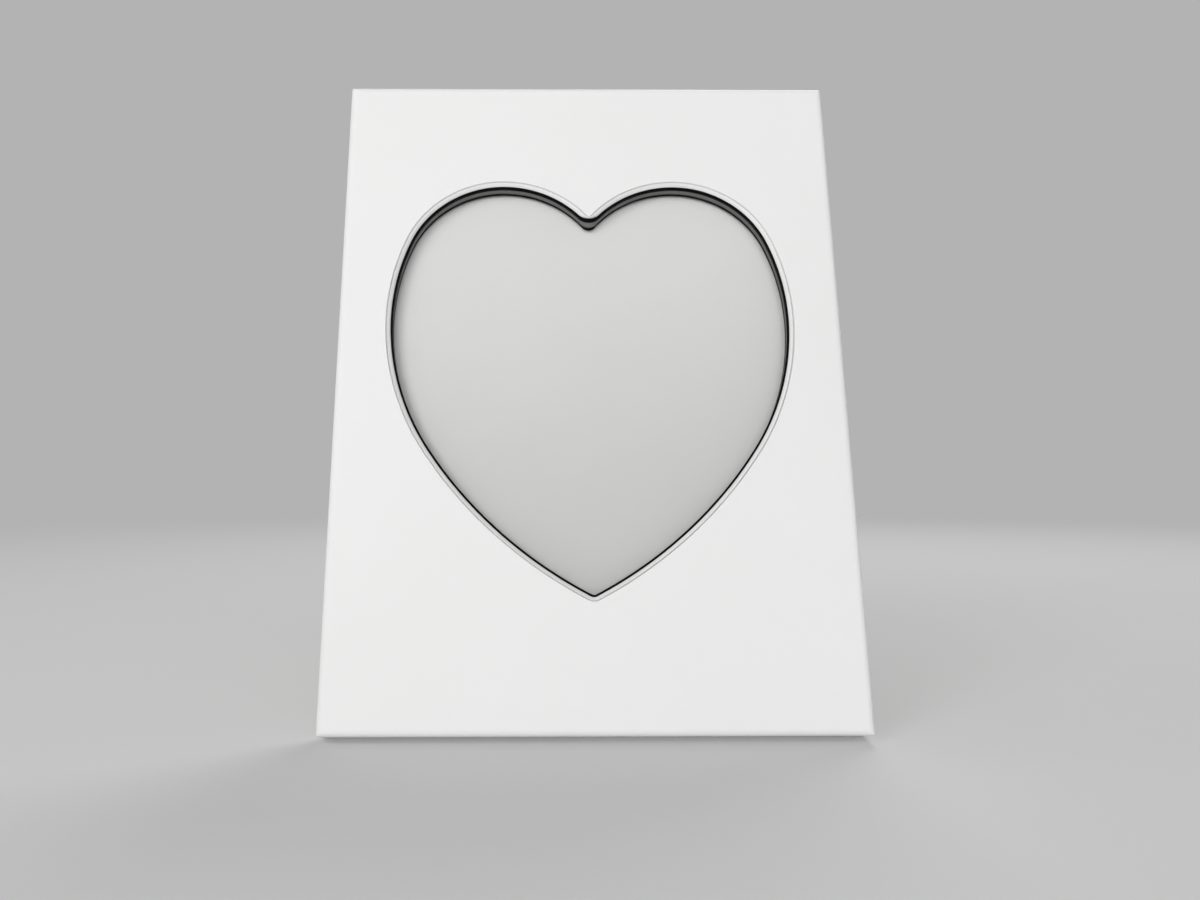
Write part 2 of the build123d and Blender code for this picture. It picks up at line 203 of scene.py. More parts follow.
class Draft:
    """Vertices and faces of one piece while it is drawn on the bench."""

    def __init__(self) -> None:
        """Start with an empty draft."""
        self.points: list[Vector] = []
        self.faces: list[tuple[int, ...]] = []
        self.across: list[tuple[float, float]] = []

    def loop(self, points: Iterable[Vector]) -> list[int]:
        """Add a row of points.

        Args:
            points: Bench points in order.

        Returns:
            Indices of the new points.
        """
        first = len(self.points)
        self.points.extend(Vector(point) for point in points)
        return list(range(first, len(self.points)))

    def bridge(self, first: Sequence[int], second: Sequence[int], closed: bool = True) -> None:
        """Join two rows of equal length with quads.

        Args:
            first: Indices of one row.
            second: Indices of the other row.
            closed: Whether the rows are loops.
        """
        count = len(first)
        for index in range(count if closed else count - 1):
            after = (index + 1) % count
            self.faces.append((first[index], first[after], second[after], second[index]))

    def tube(self, loops: Sequence[Sequence[int]], ring: bool = False) -> None:
        """Join loops one after another into a closed shape.

        Args:
            loops: Indices of the loops in order.
            ring: Whether the last loop joins the first. If not, a flat face closes each end.
        """
        for first, second in zip(loops, loops[1:]):
            self.bridge(first, second)
        if ring:
            self.bridge(loops[-1], loops[0])
        else:
            self.faces += [tuple(loops[0]), tuple(loops[-1])]

    def mesh(self, name: str) -> Mesh:
        """Turn the draft into a mesh whose faces point outwards.

        Args:
            name: Name of the mesh.

        Returns:
            The mesh, still in bench millimetres.
        """
        mesh = bpy.data.meshes.new(name)
        mesh.from_pydata(self.points, [], self.faces)
        work = bmesh.new()
        work.from_mesh(mesh)
        bmesh.ops.recalc_face_normals(work, faces=work.faces)
        if self.across:
            layer = work.loops.layers.uv.new("Weave")
            for face in work.faces:
                for corner in face.loops:
                    corner[layer].uv = self.across[corner.vert.index]
        work.to_mesh(mesh)
        work.free()
        return mesh


def plain_mesh(piece: Piece) -> None:
    """Swap a piece's mesh for its evaluated one and drop its modifiers.

    Args:
        piece: The piece, whose modifiers are live.
    """
    bpy.context.view_layer.update()
    evaluated = piece.evaluated_get(bpy.context.evaluated_depsgraph_get())
    mesh = bpy.data.meshes.new_from_object(evaluated)
    piece.modifiers.clear()
    piece.data = mesh
    mesh.name = piece.name


def clean_mesh(mesh: Mesh, grain: float = 0.004) -> None:
    """Merge points that lie on each other and drop faces of no size.

    Args:
        mesh: Mesh in bench millimetres.
        grain: Distance under which two points are one.
    """
    work = bmesh.new()
    work.from_mesh(mesh)
    bmesh.ops.delete(work, geom=[vert for vert in work.verts if not vert.link_faces], context="VERTS")
    bmesh.ops.remove_doubles(work, verts=work.verts, dist=grain)
    bmesh.ops.dissolve_degenerate(work, dist=grain, edges=work.edges)
    bmesh.ops.triangulate(work, faces=[face for face in work.faces if len(face.verts) > 4])
    work.to_mesh(mesh)
    work.free()


def new_piece(mesh: Mesh) -> Piece:
    """Add an object of a mesh's own name to the scene.

    Args:
        mesh: The mesh.

    Returns:
        The new object, at the origin.
    """
    piece = bpy.data.objects.new(mesh.name, mesh)
    bpy.context.scene.collection.objects.link(piece)
    return piece


def install(piece: Piece, placing: Matrix, material: Material, body: Body, slot: Slot, *nodes: str,
            crease: float = 38.0) -> None:
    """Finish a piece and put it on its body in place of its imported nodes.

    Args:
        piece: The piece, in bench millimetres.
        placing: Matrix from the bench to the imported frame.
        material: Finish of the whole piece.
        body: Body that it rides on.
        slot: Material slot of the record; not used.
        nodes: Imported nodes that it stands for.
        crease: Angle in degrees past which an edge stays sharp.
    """
    mesh = piece.data
    mesh.transform(placing)
    mesh.materials.clear()
    mesh.materials.append(material)
    for polygon in mesh.polygons:
        polygon.use_smooth = True
        polygon.material_index = 0
    mesh.set_sharp_from_angle(angle=math.radians(crease))
    weighted = piece.modifiers.new("Flat faces stay flat", "WEIGHTED_NORMAL")
    weighted.keep_sharp = True
    plain_mesh(piece)
    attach(piece, body.value)
    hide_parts(*nodes)
    log.info("%s rides on %s: %d faces", piece.name, body.value, len(piece.data.polygons))


@dataclass(frozen=True)
class Disc:
    """Round corner of a flat plate."""

    x: float
    y: float
    radius: float


@dataclass(frozen=True)
class Plate:
    """Convex plate whose outline wraps round its corner discs, listed clockwise as seen from the front."""

    discs: tuple[Disc, ...]
    steps: int = 6

    def loop(self, inset: float, depth: float) -> list[Vector]:
        """Outline moved inwards.

        Args:
            inset: Distance inside the outline.
            depth: Depth behind the face.

        Returns:
            Points of the outline.
        """
        points = []
        leaving = []
        for disc, after in zip(self.discs, self.discs[1:] + self.discs[:1]):
            heading = math.atan2(after.y - disc.y, after.x - disc.x)
            reach = math.hypot(after.x - disc.x, after.y - disc.y)
            leaving.append(heading + math.acos((disc.radius - after.radius) / reach))
        for index, disc in enumerate(self.discs):
            start = leaving[index - 1]
            turn = (start - leaving[index]) % math.tau
            reach = disc.radius - inset
            for step in range(self.steps + 1):
                angle = start - turn * step / self.steps
                x, y = disc.x + reach * math.cos(angle), disc.y + reach * math.sin(angle)
                points.append(Vector((x, y, -depth)))
        return points


def edge_steps(radius: float, count: int) -> Profile:
    """Steps round a quarter-round edge.

    Args:
        radius: Radius of the edge.
        count: Number of steps.

    Returns:
        Pairs of distance inside the outline and distance below the face, from the face to the side.
    """
    angles = [math.pi / 2 * step / count for step in range(count + 1)]
    return [(radius * (1 - math.sin(angle)), radius * (1 - math.cos(angle))) for angle in angles]


def plate_mesh(name: str, outline: Callable[[float], Plate], front: float, back: float, edge: float) -> Mesh:
    """Flat plate with rounded edges.

    Args:
        name: Name of the mesh.
        outline: Outline of the plate at a depth.
        front: Depth of its front.
        back: Depth of its back.
        edge: Radius of its edges.

    Returns:
        The closed mesh.
    """
    draft = Draft()
    steps = edge_steps(edge, EDGE_STEPS)
    rows = [(inset, front + drop) for inset, drop in steps]
    rows += [(inset, back - drop) for inset, drop in reversed(steps)]
    draft.tube([draft.loop(outline(depth).loop(inset, depth)) for inset, depth in rows])
    return draft.mesh(name)


@dataclass(frozen=True)
class Row:
    """One row across a ribbon: its distance along it, its middle and the direction of its face."""

    reach: float
    place: Vector
    normal: Vector


def rounded_line(corners: Sequence[Vector], radius: float, step: float) -> list[Vector]:
    """Line through corners with its inner corners rounded.

    Args:
        corners: Corner points.
        radius: Radius of the bends.
        step: Distance between points on the bends.

    Returns:
        Points of the line.
    """
    points = [corners[0]]
    for before, here, after in zip(corners, corners[1:], corners[2:]):
        back = (before - here).normalized()
        ahead = (after - here).normalized()
        half = back.angle(ahead) / 2
        reach = radius / math.tan(half)
        centre = here + (back + ahead).normalized() * (radius / math.sin(half))
        first = here + back * reach - centre
        last = here + ahead * reach - centre
        steps = max(4, round(radius * first.angle(last) / step))
        points.extend(centre + first.slerp(last, index / steps) for index in range(steps + 1))
    points.append(corners[-1])
    return points


def measured(line: Sequence[Vector], step: float) -> list[Row]:
    """Even rows along a line in the plane across X.

    Args:
        line: Points of the line.
        step: Distance between rows.

    Returns:
        The rows in order.
    """
    reaches = [0.0]
    for first, second in zip(line, line[1:]):
        reaches.append(reaches[-1] + (second - first).length)
    count = round(reaches[-1] / step)
    rows = []
    segment = 0
    for index in range(count + 1):
        reach = reaches[-1] * index / count
        while segment < len(line) - 2 and reaches[segment + 1] < reach:
            segment += 1
        run = line[segment + 1] - line[segment]
        share = (reach - reaches[segment]) / run.length
        rows.append(Row(reach, line[segment] + run * share, Vector((1, 0, 0)).cross(run.normalized())))
    return rows


# Node trees


class Nodes:
    """Node tree under construction."""

    def __init__(self, tree: bpy.types.NodeTree) -> None:
        """Take a tree to build on."""
        self.tree = tree

    def feed(self, socket: Socket, value: Value) -> None:
        """Link a socket to one or several others, or set its own value.

        Args:
            socket: Input that is fed.
            value: A socket, a list of sockets, or a plain value.
        """
        if isinstance(value, (bpy.types.NodeSocket, list)):
            for source in value if isinstance(value, list) else [value]:
                self.tree.links.new(source, socket)
        else:
            socket.default_value = value

    def add(self, kind: str, inputs: dict[str | int, Value], output: int = 0, **settings: str) -> Socket:
        """Add a node.

        Args:
            kind: Blender's name of the node.
            inputs: Values or sockets by input name or index.
            output: Index of the output that is wanted.
            settings: Properties of the node.

        Returns:
            The wanted output.
        """
        node = self.tree.nodes.new(kind)
        for label, setting in settings.items():
            setattr(node, label, setting)
        for label, value in inputs.items():
            self.feed(node.inputs[label], value)
        return node.outputs[output]

    def by_ray(self, plain: Socket, other: Socket, *rays: Ray) -> Socket:
        """Swap one shader for another on some light paths.

        Args:
            plain: Shader on all other paths.
            other: Shader on the given paths.
            rays: Kinds of path that get the other shader.

        Returns:
            The mixed shader.
        """
        for ray in rays:
            share = self.tree.nodes.new("ShaderNodeLightPath").outputs[ray.value]
            plain = self.add("ShaderNodeMixShader", {0: share, 1: plain, 2: other})
        return plain

    def math(self, operation: str, *values: Value) -> Socket:
        """Arithmetic on up to three values."""
        return self.add("ShaderNodeMath", dict(enumerate(values)), operation=operation)

    def along(self, where: Socket, direction: Sequence[float]) -> Socket:
        """Distance of a place along a direction."""
        return self.add("ShaderNodeVectorMath", {0: where, 1: tuple(direction)}, 1, operation="DOT_PRODUCT")

    def length(self, where: Socket) -> Socket:
        """Distance of a place from the origin."""
        return self.add("ShaderNodeVectorMath", {0: where}, 1, operation="LENGTH")

    def axis(self, where: Socket, index: int) -> Socket:
        """One coordinate of a place."""
        return self.add("ShaderNodeSeparateXYZ", {0: where}, index)

    def span(self, value: Socket, low: float, high: float, start: float = 0.3, end: float = 0.7,
             kind: str = "LINEAR") -> Socket:
        """Map a value to a range.

        Args:
            value: Socket of the value.
            low: Result at start.
            high: Result at end.
            start: Lower end of the value.
            end: Upper end of the value.
            kind: Blender's name of the interpolation.

        Returns:
            Socket of the result, held within the range.
        """
        inputs = {0: value, 1: start, 2: end, 3: low, 4: high}
        return self.add("ShaderNodeMapRange", inputs, interpolation_type=kind)


class Form(Nodes):
    """Geometry-node tree with named sizes, built node by node."""

    def __init__(self, name: str, sizes: dict[str, float]) -> None:
        """Start a tree.

        Args:
            name: Name of the tree.
            sizes: Named inputs and their values.
        """
        super().__init__(bpy.data.node_groups.new(name, "GeometryNodeTree"))
        self.sizes = sizes
        outside = self.tree.interface
        outside.new_socket("Geometry", in_out="OUTPUT", socket_type="NodeSocketGeometry")
        outside.new_socket("Geometry", in_out="INPUT", socket_type="NodeSocketGeometry")
        for label in sizes:
            outside.new_socket(label, in_out="INPUT", socket_type="NodeSocketFloat")
        outside.new_socket("Finish", in_out="INPUT", socket_type="NodeSocketMaterial")
        self.given = self.tree.nodes.new("NodeGroupInput").outputs
        self.result = self.tree.nodes.new("NodeGroupOutput").inputs[0]

    def sum(self, *terms: tuple[float, Value]) -> Socket:
        """Weighted sum of sizes.

        Args:
            terms: Pairs of a factor and a size.

        Returns:
            Socket of the sum.
        """
        total: Value = 0.0
        for factor, size in terms:
            total = self.math("MULTIPLY_ADD", size, factor, total)
        return total

    def place(self, x: Value = 0.0, y: Value = 0.0, z: Value = 0.0) -> Socket:
        """Vector from its three parts."""
        return self.add("ShaderNodeCombineXYZ", {0: x, 1: y, 2: z})

    def move(self, geometry: Socket, x: Value, z: Value, **more: Value) -> Socket:
        """Move a geometry across and up.

        Args:
            geometry: What is moved.
            x: Distance along X.
            z: Distance along Z.
            more: Rotation or scale, by the node's own names.

        Returns:
            Socket of the moved geometry.
        """
        inputs = {"Geometry": geometry, "Translation": self.place(x, 0.0, z)} | more
        return self.add("GeometryNodeTransform", inputs)

    def hull(self, parts: list[Socket]) -> Socket:
        """Convex hull round several geometries."""
        return self.add("GeometryNodeConvexHull", {0: self.add("GeometryNodeJoinGeometry", {0: parts})})

    def bar(self, sides: int, fill: int, radius: Value, depth: Value, lowest: Value) -> Socket:
        """Upright cylinder.

        Args:
            sides: Number of its sides.
            fill: Number of rings in its end faces.
            radius: Its radius.
            depth: Its length.
            lowest: Where its lower end stands.

        Returns:
            Socket of the cylinder.
        """
        counts = {"Vertices": sides, "Side Segments": 1, "Fill Segments": fill}
        bar = self.add("GeometryNodeMeshCylinder", counts | {"Radius": radius, "Depth": depth})
        return self.move(bar, 0.0, self.sum((1, lowest), (0.5, depth)))

    def rings(self, x: Value, radius: Socket, thickness: Socket, edge: Socket,
              crown: Value = 0.0) -> list[Socket]:
        """Circles whose hull is a disc with rounded edges, from z = 0 up.

        Args:
            x: Where the disc's axis stands.
            radius: Radius of the disc.
            thickness: Thickness of the disc at its rim.
            edge: Radius of its edges.
            crown: Rise of the middle over the rim.

        Returns:
            Sockets of the circles.
        """
        rows = []
        for inset, drop in edge_steps(1.0, EDGE_STEPS):
            size = self.sum((1, radius), (-inset, edge))
            rows.append((size, self.sum((drop, edge))))
            rows.append((size, self.sum((1, thickness), (-drop, edge))))
        rows.append((self.sum((CROWN_SHARE, radius)), self.sum((1, thickness), (1, crown))))
        circles = []
        for size, height in rows:
            ring = self.add("GeometryNodeMeshCircle", {"Vertices": ROUND_SIDES, "Radius": size})
            circles.append(self.move(ring, x, height))
        return circles

    def domed_head(self, radius: Socket, height: Socket, rim: float, fullness: float = 2.2) -> Socket:
        """Closed head with a flat underside at z = 0 and a round crown.

        Args:
            radius: Radius of the head.
            height: Height of its crown.
            rim: Share of the height that the upright rim takes.
            fullness: Power of the crown's fall towards the rim.

        Returns:
            Socket of the mesh.
        """
        disc = self.bar(ROUND_SIDES, HEAD_RINGS, radius, self.sum((rim, height)), 0.0)
        place = self.add("GeometryNodeInputPosition", {})
        flat = self.add("ShaderNodeVectorMath", {0: place, 1: (1.0, 1.0, 0.0)}, operation="MULTIPLY")
        fall = self.math("POWER", self.math("DIVIDE", self.length(flat), radius), fullness)
        rise = self.math("MULTIPLY", self.sum((1, 1.0), (-1, fall)), self.sum((1 - rim, height)))
        above = self.math("GREATER_THAN", self.axis(place, 2), UNDERSIDE)
        moved = {"Geometry": disc, "Selection": above, "Offset": self.place(0.0, 0.0, rise)}
        return self.add("GeometryNodeSetPosition", moved)

    def scatter(self, instance: Socket) -> Socket:
        """Set one copy on each point of the piece, turned to face the back, as real geometry."""
        turned = {"Points": self.given["Geometry"], "Instance": instance, "Rotation": (math.pi, 0.0, 0.0)}
        return self.add("GeometryNodeRealizeInstances", {0: self.add("GeometryNodeInstanceOnPoints", turned)})

    def close(self, geometry: Socket) -> None:
        """End the tree with realised instances and the piece's material."""
        real = self.add("GeometryNodeRealizeInstances", {0: geometry})
        self.feed(self.result, self.add("GeometryNodeSetMaterial", {0: real, 2: self.given["Finish"]}))

    def make(self, name: str, points: Sequence[Vector], material: Material, path: Path = Path.NONE,
             **changed: float) -> Piece:
        """Grow a piece from points or a path.

        Args:
            name: Name of the piece.
            points: Bench points that the tree starts from.
            material: Finish of the piece.
            path: How the points are joined.
            changed: Sizes that differ from the tree's own.

        Returns:
            The piece as a plain mesh, in bench millimetres.
        """
        count = len(points)
        edges = [] if path is Path.NONE else list(zip(range(count), range(1, count)))
        if path is Path.CLOSED:
            edges.append((count - 1, 0))
        mesh = bpy.data.meshes.new(name)
        mesh.from_pydata(points, edges, [])
        piece = new_piece(mesh)
        grown = piece.modifiers.new(self.tree.name, "NODES")
        grown.node_group = self.tree
        outside = self.tree.interface.items_tree
        names = {item.name: item.identifier for item in outside if item.in_out == "INPUT"}
        for label, size in (self.sizes | changed).items():
            grown[names[label]] = size
        grown[names["Finish"]] = material
        plain_mesh(piece)
        clean_mesh(piece.data)
        return piece


# Finishes. Scales of noise are in cells per metre.


class Shade(Nodes):
    """Shader tree of one finish."""

    def __init__(self, name: str) -> None:
        """Start a material with a Principled shader.

        Args:
            name: Name of the material.
        """
        self.material = bpy.data.materials.new(name)
        self.material.use_nodes = True
        super().__init__(self.material.node_tree)
        self.surface = self.tree.nodes["Principled BSDF"]
        self.output = self.tree.nodes["Material Output"]
        self.coordinates = self.tree.nodes.new("ShaderNodeTexCoord").outputs
        self.here = self.coordinates["Object"]

    def wave(self, value: Socket, pitch: float) -> Socket:
        """Sine of a value that repeats at a pitch."""
        return self.math("SINE", self.math("MULTIPLY", value, math.tau / pitch))

    def stretched(self, scale: Sequence[float], turn: Sequence[float] = (0, 0, 0)) -> Socket:
        """Object coordinates turned and stretched.

        Args:
            scale: Stretch along each axis.
            turn: Rotation in degrees.

        Returns:
            Socket of the coordinates.
        """
        angles = tuple(math.radians(angle) for angle in turn)
        return self.add("ShaderNodeMapping", {0: self.here, 2: angles, 3: tuple(scale)})

    def noise(self, scale: float, detail: float = 2.0, vector: Socket | None = None) -> Socket:
        """Cloudy noise from 0 to 1.

        Args:
            scale: Cells per metre.
            detail: Octaves.
            vector: Coordinates, if not the object's own.

        Returns:
            Socket of the noise.
        """
        where = vector if vector is not None else self.here
        return self.add("ShaderNodeTexNoise", {"Vector": where, "Scale": scale, "Detail": detail})

    def mix(self, share: Socket, first: Value, second: Value) -> Socket:
        """Mix two colours by a share."""
        return self.add("ShaderNodeMix", {0: share, 6: first, 7: second}, 2, data_type="RGBA")

    def bump(self, height: Socket, strength: float, distance: float, below: Socket | None = None) -> Socket:
        """Raise the surface by a height.

        Args:
            height: Socket of the height.
            strength: How strongly it shows.
            distance: Real height in metres.
            below: Normal of a coarser relief that it lies on.

        Returns:
            Socket of the normal.
        """
        inputs: dict[str | int, Value] = {"Height": height, "Strength": strength, "Distance": distance}
        if below is not None:
            inputs["Normal"] = below
        return self.add("ShaderNodeBump", inputs)

    def dress(self, **inputs: Value) -> Material:
        """Set inputs of the Principled shader.

        Args:
            inputs: Values or sockets by input name, written with underscores.

        Returns:
            The material.
        """
        for label, value in inputs.items():
            self.feed(self.surface.inputs[label.replace("_", " ")], value)
        return self.material

    def show(self, shader: Socket) -> Material:
        """Show another shader than the Principled one, and return the material."""
        self.feed(self.output.inputs["Surface"], shader)
        return self.material


def grey(level: float, warmth: float = 0.0) -> Colour:
    """Neutral colour, a little warmer where warmth is above 0."""
    return (level * (1 + warmth), level, level * (1 - warmth), 1.0)


@dataclass(frozen=True)
class Lacquer:
    """Satin white lacquer on fibreboard, sprayed and rubbed down."""

    level: float = 0.83
    roughness: tuple[float, float] = (0.40, 0.50)
    cloud_scale: float = 14
    sheen_scale: float = 160
    peel_scale: float = 700
    dust_scale: float = 5200

    def material(self) -> Material:
        """Build the finish.

        Returns:
            The material.
        """
        shade = Shade("white_lacquer")
        cloud = shade.span(shade.noise(self.cloud_scale, 3), 0, 1)
        tone = shade.mix(cloud, grey(self.level * 0.985, 0.004), grey(self.level))
        sheen = shade.span(shade.noise(self.sheen_scale, 4), *self.roughness)
        peel = shade.bump(shade.noise(self.peel_scale, 2), 0.05, 0.0002)
        dust = shade.bump(shade.noise(self.dust_scale, 1), 0.03, 0.00004, peel)
        return shade.dress(Base_Color=tone, Roughness=sheen, Normal=dust, Specular_IOR_Level=0.5)


@dataclass(frozen=True)
class TrimWithPaintedShade:
    """Thin trim whose dark colours paint shade: a charcoal wall for the window's wall in shade, a black band
    at the glass for a painted shadow line, and a black front edge that is partly the trim's own dark edge and
    partly painted shade.
    """

    # Black of the painted shadow line at the glass and of the front edge, which is partly painted shade
    edge: float = 0.002
    # Charcoal of the wall, dark to paint the shade on the window's wall
    wall: float = 0.2
    # Depths where the painted black bands give way to the wall, at the front edge and at the glass
    wall_front: float = 0.0018
    wall_back: float = 0.0033
    front_blur: float = 0.00015
    back_blur: float = 0.0002
    cloud_scale: float = 900
    rough_scale: float = 2500
    grain_scale: float = 4000

    def material(self, placing: Matrix) -> Material:
        """Build the finish.

        Args:
            placing: Matrix of the bench, which gives the depth behind the face.

        Returns:
            The material.
        """
        shade = Shade("dark_trim")
        inwards = -placing.to_3x3().col[2].normalized()
        start = inwards.dot(placing.translation)
        # Painted shade by depth: black at the front edge and at the glass, charcoal wall between them
        depth = shade.math("SUBTRACT", shade.along(shade.here, inwards), start)
        rise = shade.span(depth, 0, 1, self.wall_front - self.front_blur, self.wall_front + self.front_blur)
        fall = shade.span(depth, 1, 0, self.wall_back - self.back_blur, self.wall_back + self.back_blur)
        cloud = shade.span(shade.noise(self.cloud_scale, 3), 0.85, 1.0)
        share = shade.math("MULTIPLY", shade.math("MULTIPLY", rise, fall), cloud)
        tone = shade.mix(share, grey(self.edge), grey(self.wall, 0.01))
        rough = shade.span(shade.noise(self.rough_scale, 2), 0.6, 0.72)
        grain = shade.bump(shade.noise(self.grain_scale, 2), 0.08, 0.00005)
        return shade.dress(Base_Color=tone, Roughness=rough, Normal=grain, Specular_IOR_Level=0.1)


@dataclass(frozen=True)
class ClearSheet:
    """Clear flat sheet that lets the light through to the print."""

    index: float = 1.49
    light: Colour = (0.995, 0.995, 0.99, 1)
    dark: Colour = (0.985, 0.985, 0.98, 1)
    through: Colour = (0.98, 0.98, 0.978, 1)
    cloud_scale: float = 6

    def material(self) -> Material:
        """Build the finish.

        Returns:
            The material.
        """
        shade = Shade("clear_sheet")
        tint = shade.mix(shade.span(shade.noise(self.cloud_scale, 1), 0, 1), self.dark, self.light)
        shade.dress(Base_Color=tint, Roughness=0.0, IOR=self.index, Transmission_Weight=1.0)
        through = shade.add("ShaderNodeBsdfTransparent", {"Color": self.through})
        return shade.show(shade.by_ray(shade.surface.outputs[0], through, Ray.SHADOW, Ray.DIFFUSE))


@dataclass(frozen=True)
class GreyCard:
    """Plain grey card with the cloud and tooth of paper, and painted light: paler towards the upper left,
    darker towards the foot.
    """

    # Levels of the painted light at the card's top and at its foot
    upper: float = 0.735
    lower: float = 0.615
    # Heights over which the painted light goes from the foot's level to the top's
    upper_height: float = 0.155
    lower_height: float = 0.045
    slant: float = 0.22
    cloud_scale: float = 60
    fibre_scale: float = 3200

    def material(self) -> Material:
        """Build the finish.

        Returns:
            The material.
        """
        shade = Shade("grey_card")
        # Painted light: the card paler towards the upper left and darker towards the foot
        height = shade.along(shade.here, (-self.slant, 0, 1))
        rise = shade.span(height, 0, 1, self.lower_height, self.upper_height, "SMOOTHSTEP")
        cloud = shade.span(shade.noise(self.cloud_scale, 4), -0.04, 0.04)
        slanted = shade.stretched((1, 0.35, 0.35), (0, 0, 20))
        fibre = shade.span(shade.noise(self.fibre_scale, 3, slanted), 0, 1)
        tone = shade.mix(shade.math("ADD", rise, cloud), grey(self.lower), grey(self.upper, 0.002))
        speckled = shade.mix(shade.math("MULTIPLY", fibre, 0.05), tone, grey(self.lower * 0.85))
        tooth = shade.bump(fibre, 0.06, 0.00003)
        return shade.dress(Base_Color=speckled, Roughness=0.78, Normal=tooth, Specular_IOR_Level=0.3)


@dataclass(frozen=True)
class KraftCard:
    """Brown corrugated card with its fibres and the print-through of its flutes."""

    light: Colour = (0.47, 0.33, 0.20, 1)
    dark: Colour = (0.36, 0.24, 0.14, 1)
    fibre_scale: float = 1400
    flute_pitch: float = 0.0032

    def material(self) -> Material:
        """Build the finish.

        Returns:
            The material.
        """
        shade = Shade("kraft_card")
        fibre = shade.noise(self.fibre_scale, 5, shade.stretched((0.25, 1, 1)))
        flutes = shade.wave(shade.axis(shade.here, 0), self.flute_pitch)
        tone = shade.mix(shade.span(fibre, 0, 1), self.light, self.dark)
        relief = shade.bump(shade.span(flutes, 0, 1, -1, 1), 0.25, 0.0001, shade.bump(fibre, 0.15, 0.00005))
        return shade.dress(Base_Color=tone, Roughness=0.85, Normal=relief, Specular_IOR_Level=0.25)


@dataclass(frozen=True)
class Hardboard:
    """Brown pressed board: short matted fibres, dark flecks and a faintly polished face."""

    light: Colour = (0.33, 0.205, 0.115, 1)
    dark: Colour = (0.20, 0.115, 0.06, 1)
    fleck: Colour = (0.075, 0.04, 0.02, 1)
    mat_scale: float = 1500
    hair_scale: float = 2600
    cloud_scale: float = 34
    hair_turns: tuple[float, float] = (24, -17)
    hair_width: float = 0.13

    def material(self, name: str, turn: float) -> Material:
        """Build the finish.

        Args:
            name: Name of the material.
            turn: Direction of the fibres in degrees.

        Returns:
            The material.
        """
        shade = Shade(name)
        thin, (first, second) = self.hair_width, self.hair_turns
        mat = shade.noise(self.mat_scale, 6, shade.stretched((1.0, 0.5, 0.5), (0, turn, 0)))
        hairs = shade.noise(self.hair_scale, 3, shade.stretched((1.0, thin, thin), (0, turn + first, 0)))
        crossed = shade.noise(self.hair_scale, 3, shade.stretched((thin, 1.0, 1.0), (0, turn + second, 0)))
        tone = shade.mix(shade.span(mat, 0, 1, 0.32, 0.68), self.light, self.dark)
        drift = shade.mix(shade.span(shade.noise(self.cloud_scale, 4), 0, 0.35), tone, self.dark)
        dark_hairs = shade.span(hairs, 0, 0.7, 0.64, 0.74)
        share = shade.math("MAXIMUM", dark_hairs, shade.span(crossed, 0, 0.6, 0.66, 0.76))
        flecked = shade.mix(share, drift, self.fleck)
        relief = shade.bump(shade.math("ADD", mat, hairs), 0.16, 0.00006)
        rough = shade.span(mat, 0.45, 0.6)
        return shade.dress(Base_Color=flecked, Roughness=rough, Normal=relief, Specular_IOR_Level=0.4)


@dataclass(frozen=True)
class PlatedSteel:
    """Nickel-plated steel, drawn and tumbled, a little duller in patches."""

    light: Colour = (0.66, 0.645, 0.615, 1)
    dull: Colour = (0.52, 0.505, 0.48, 1)
    patch_scale: float = 240
    line_scale: float = 2600
    dent_scale: float = 900

    def material(self) -> Material:
        """Build the finish.

        Returns:
            The material.
        """
        shade = Shade("plated_steel")
        patch = shade.span(shade.noise(self.patch_scale, 4), 0, 1)
        lines = shade.noise(self.line_scale, 3, shade.stretched((1, 0.08, 0.08)))
        tone = shade.mix(patch, self.light, self.dull)
        rough = shade.math("ADD", shade.span(patch, 0.24, 0.36, 0, 1), shade.span(lines, 0, 0.06))
        relief = shade.bump(lines, 0.12, 0.00003, shade.bump(shade.noise(self.dent_scale, 2), 0.05, 0.00008))
        return shade.dress(Base_Color=tone, Roughness=rough, Normal=relief, Metallic=1.0)


@dataclass(frozen=True)
class WovenRibbon:
    """Black ribbed ribbon: weft ribs across, fine warp along, tight selvedge. Sizes are in millimetres."""

    pitch: float = 0.9
    warp: float = 0.28
    selvedge: tuple[float, float] = (0.9, 0.6)
    light: Colour = (0.045, 0.045, 0.05, 1)
    dark: Colour = (0.008, 0.008, 0.01, 1)
    fuzz_scale: float = 2200

    def material(self, width: float) -> Material:
        """Build the finish.

        Args:
            width: Width of the ribbon.

        Returns:
            The material, on the ribbon's own coordinates in millimetres.
        """
        shade = Shade("woven_ribbon")
        along, across = (shade.axis(shade.coordinates["UV"], index) for index in (0, 1))
        rib = shade.span(shade.wave(along, self.pitch), 0, 0.7, -1, 1)
        thread = shade.span(shade.wave(across, self.warp), 0, 0.3, -1, 1)
        middle = shade.math("ABSOLUTE", shade.math("SUBTRACT", across, width / 2))
        edge = shade.span(middle, 0, 1, *(width / 2 - inset for inset in self.selvedge))
        weave = shade.math("ADD", rib, thread)
        fuzz = shade.span(shade.noise(self.fuzz_scale, 3), 0.75, 1.0)
        inner = shade.math("SUBTRACT", weave, shade.math("MULTIPLY", edge, 0.25))
        tone = shade.mix(shade.math("MULTIPLY", inner, fuzz), self.dark, self.light)
        relief = shade.bump(weave, 0.5, 0.00008)
        shade.dress(Sheen_Weight=0.25, Sheen_Roughness=0.4)
        return shade.dress(Base_Color=tone, Roughness=0.82, Normal=relief)


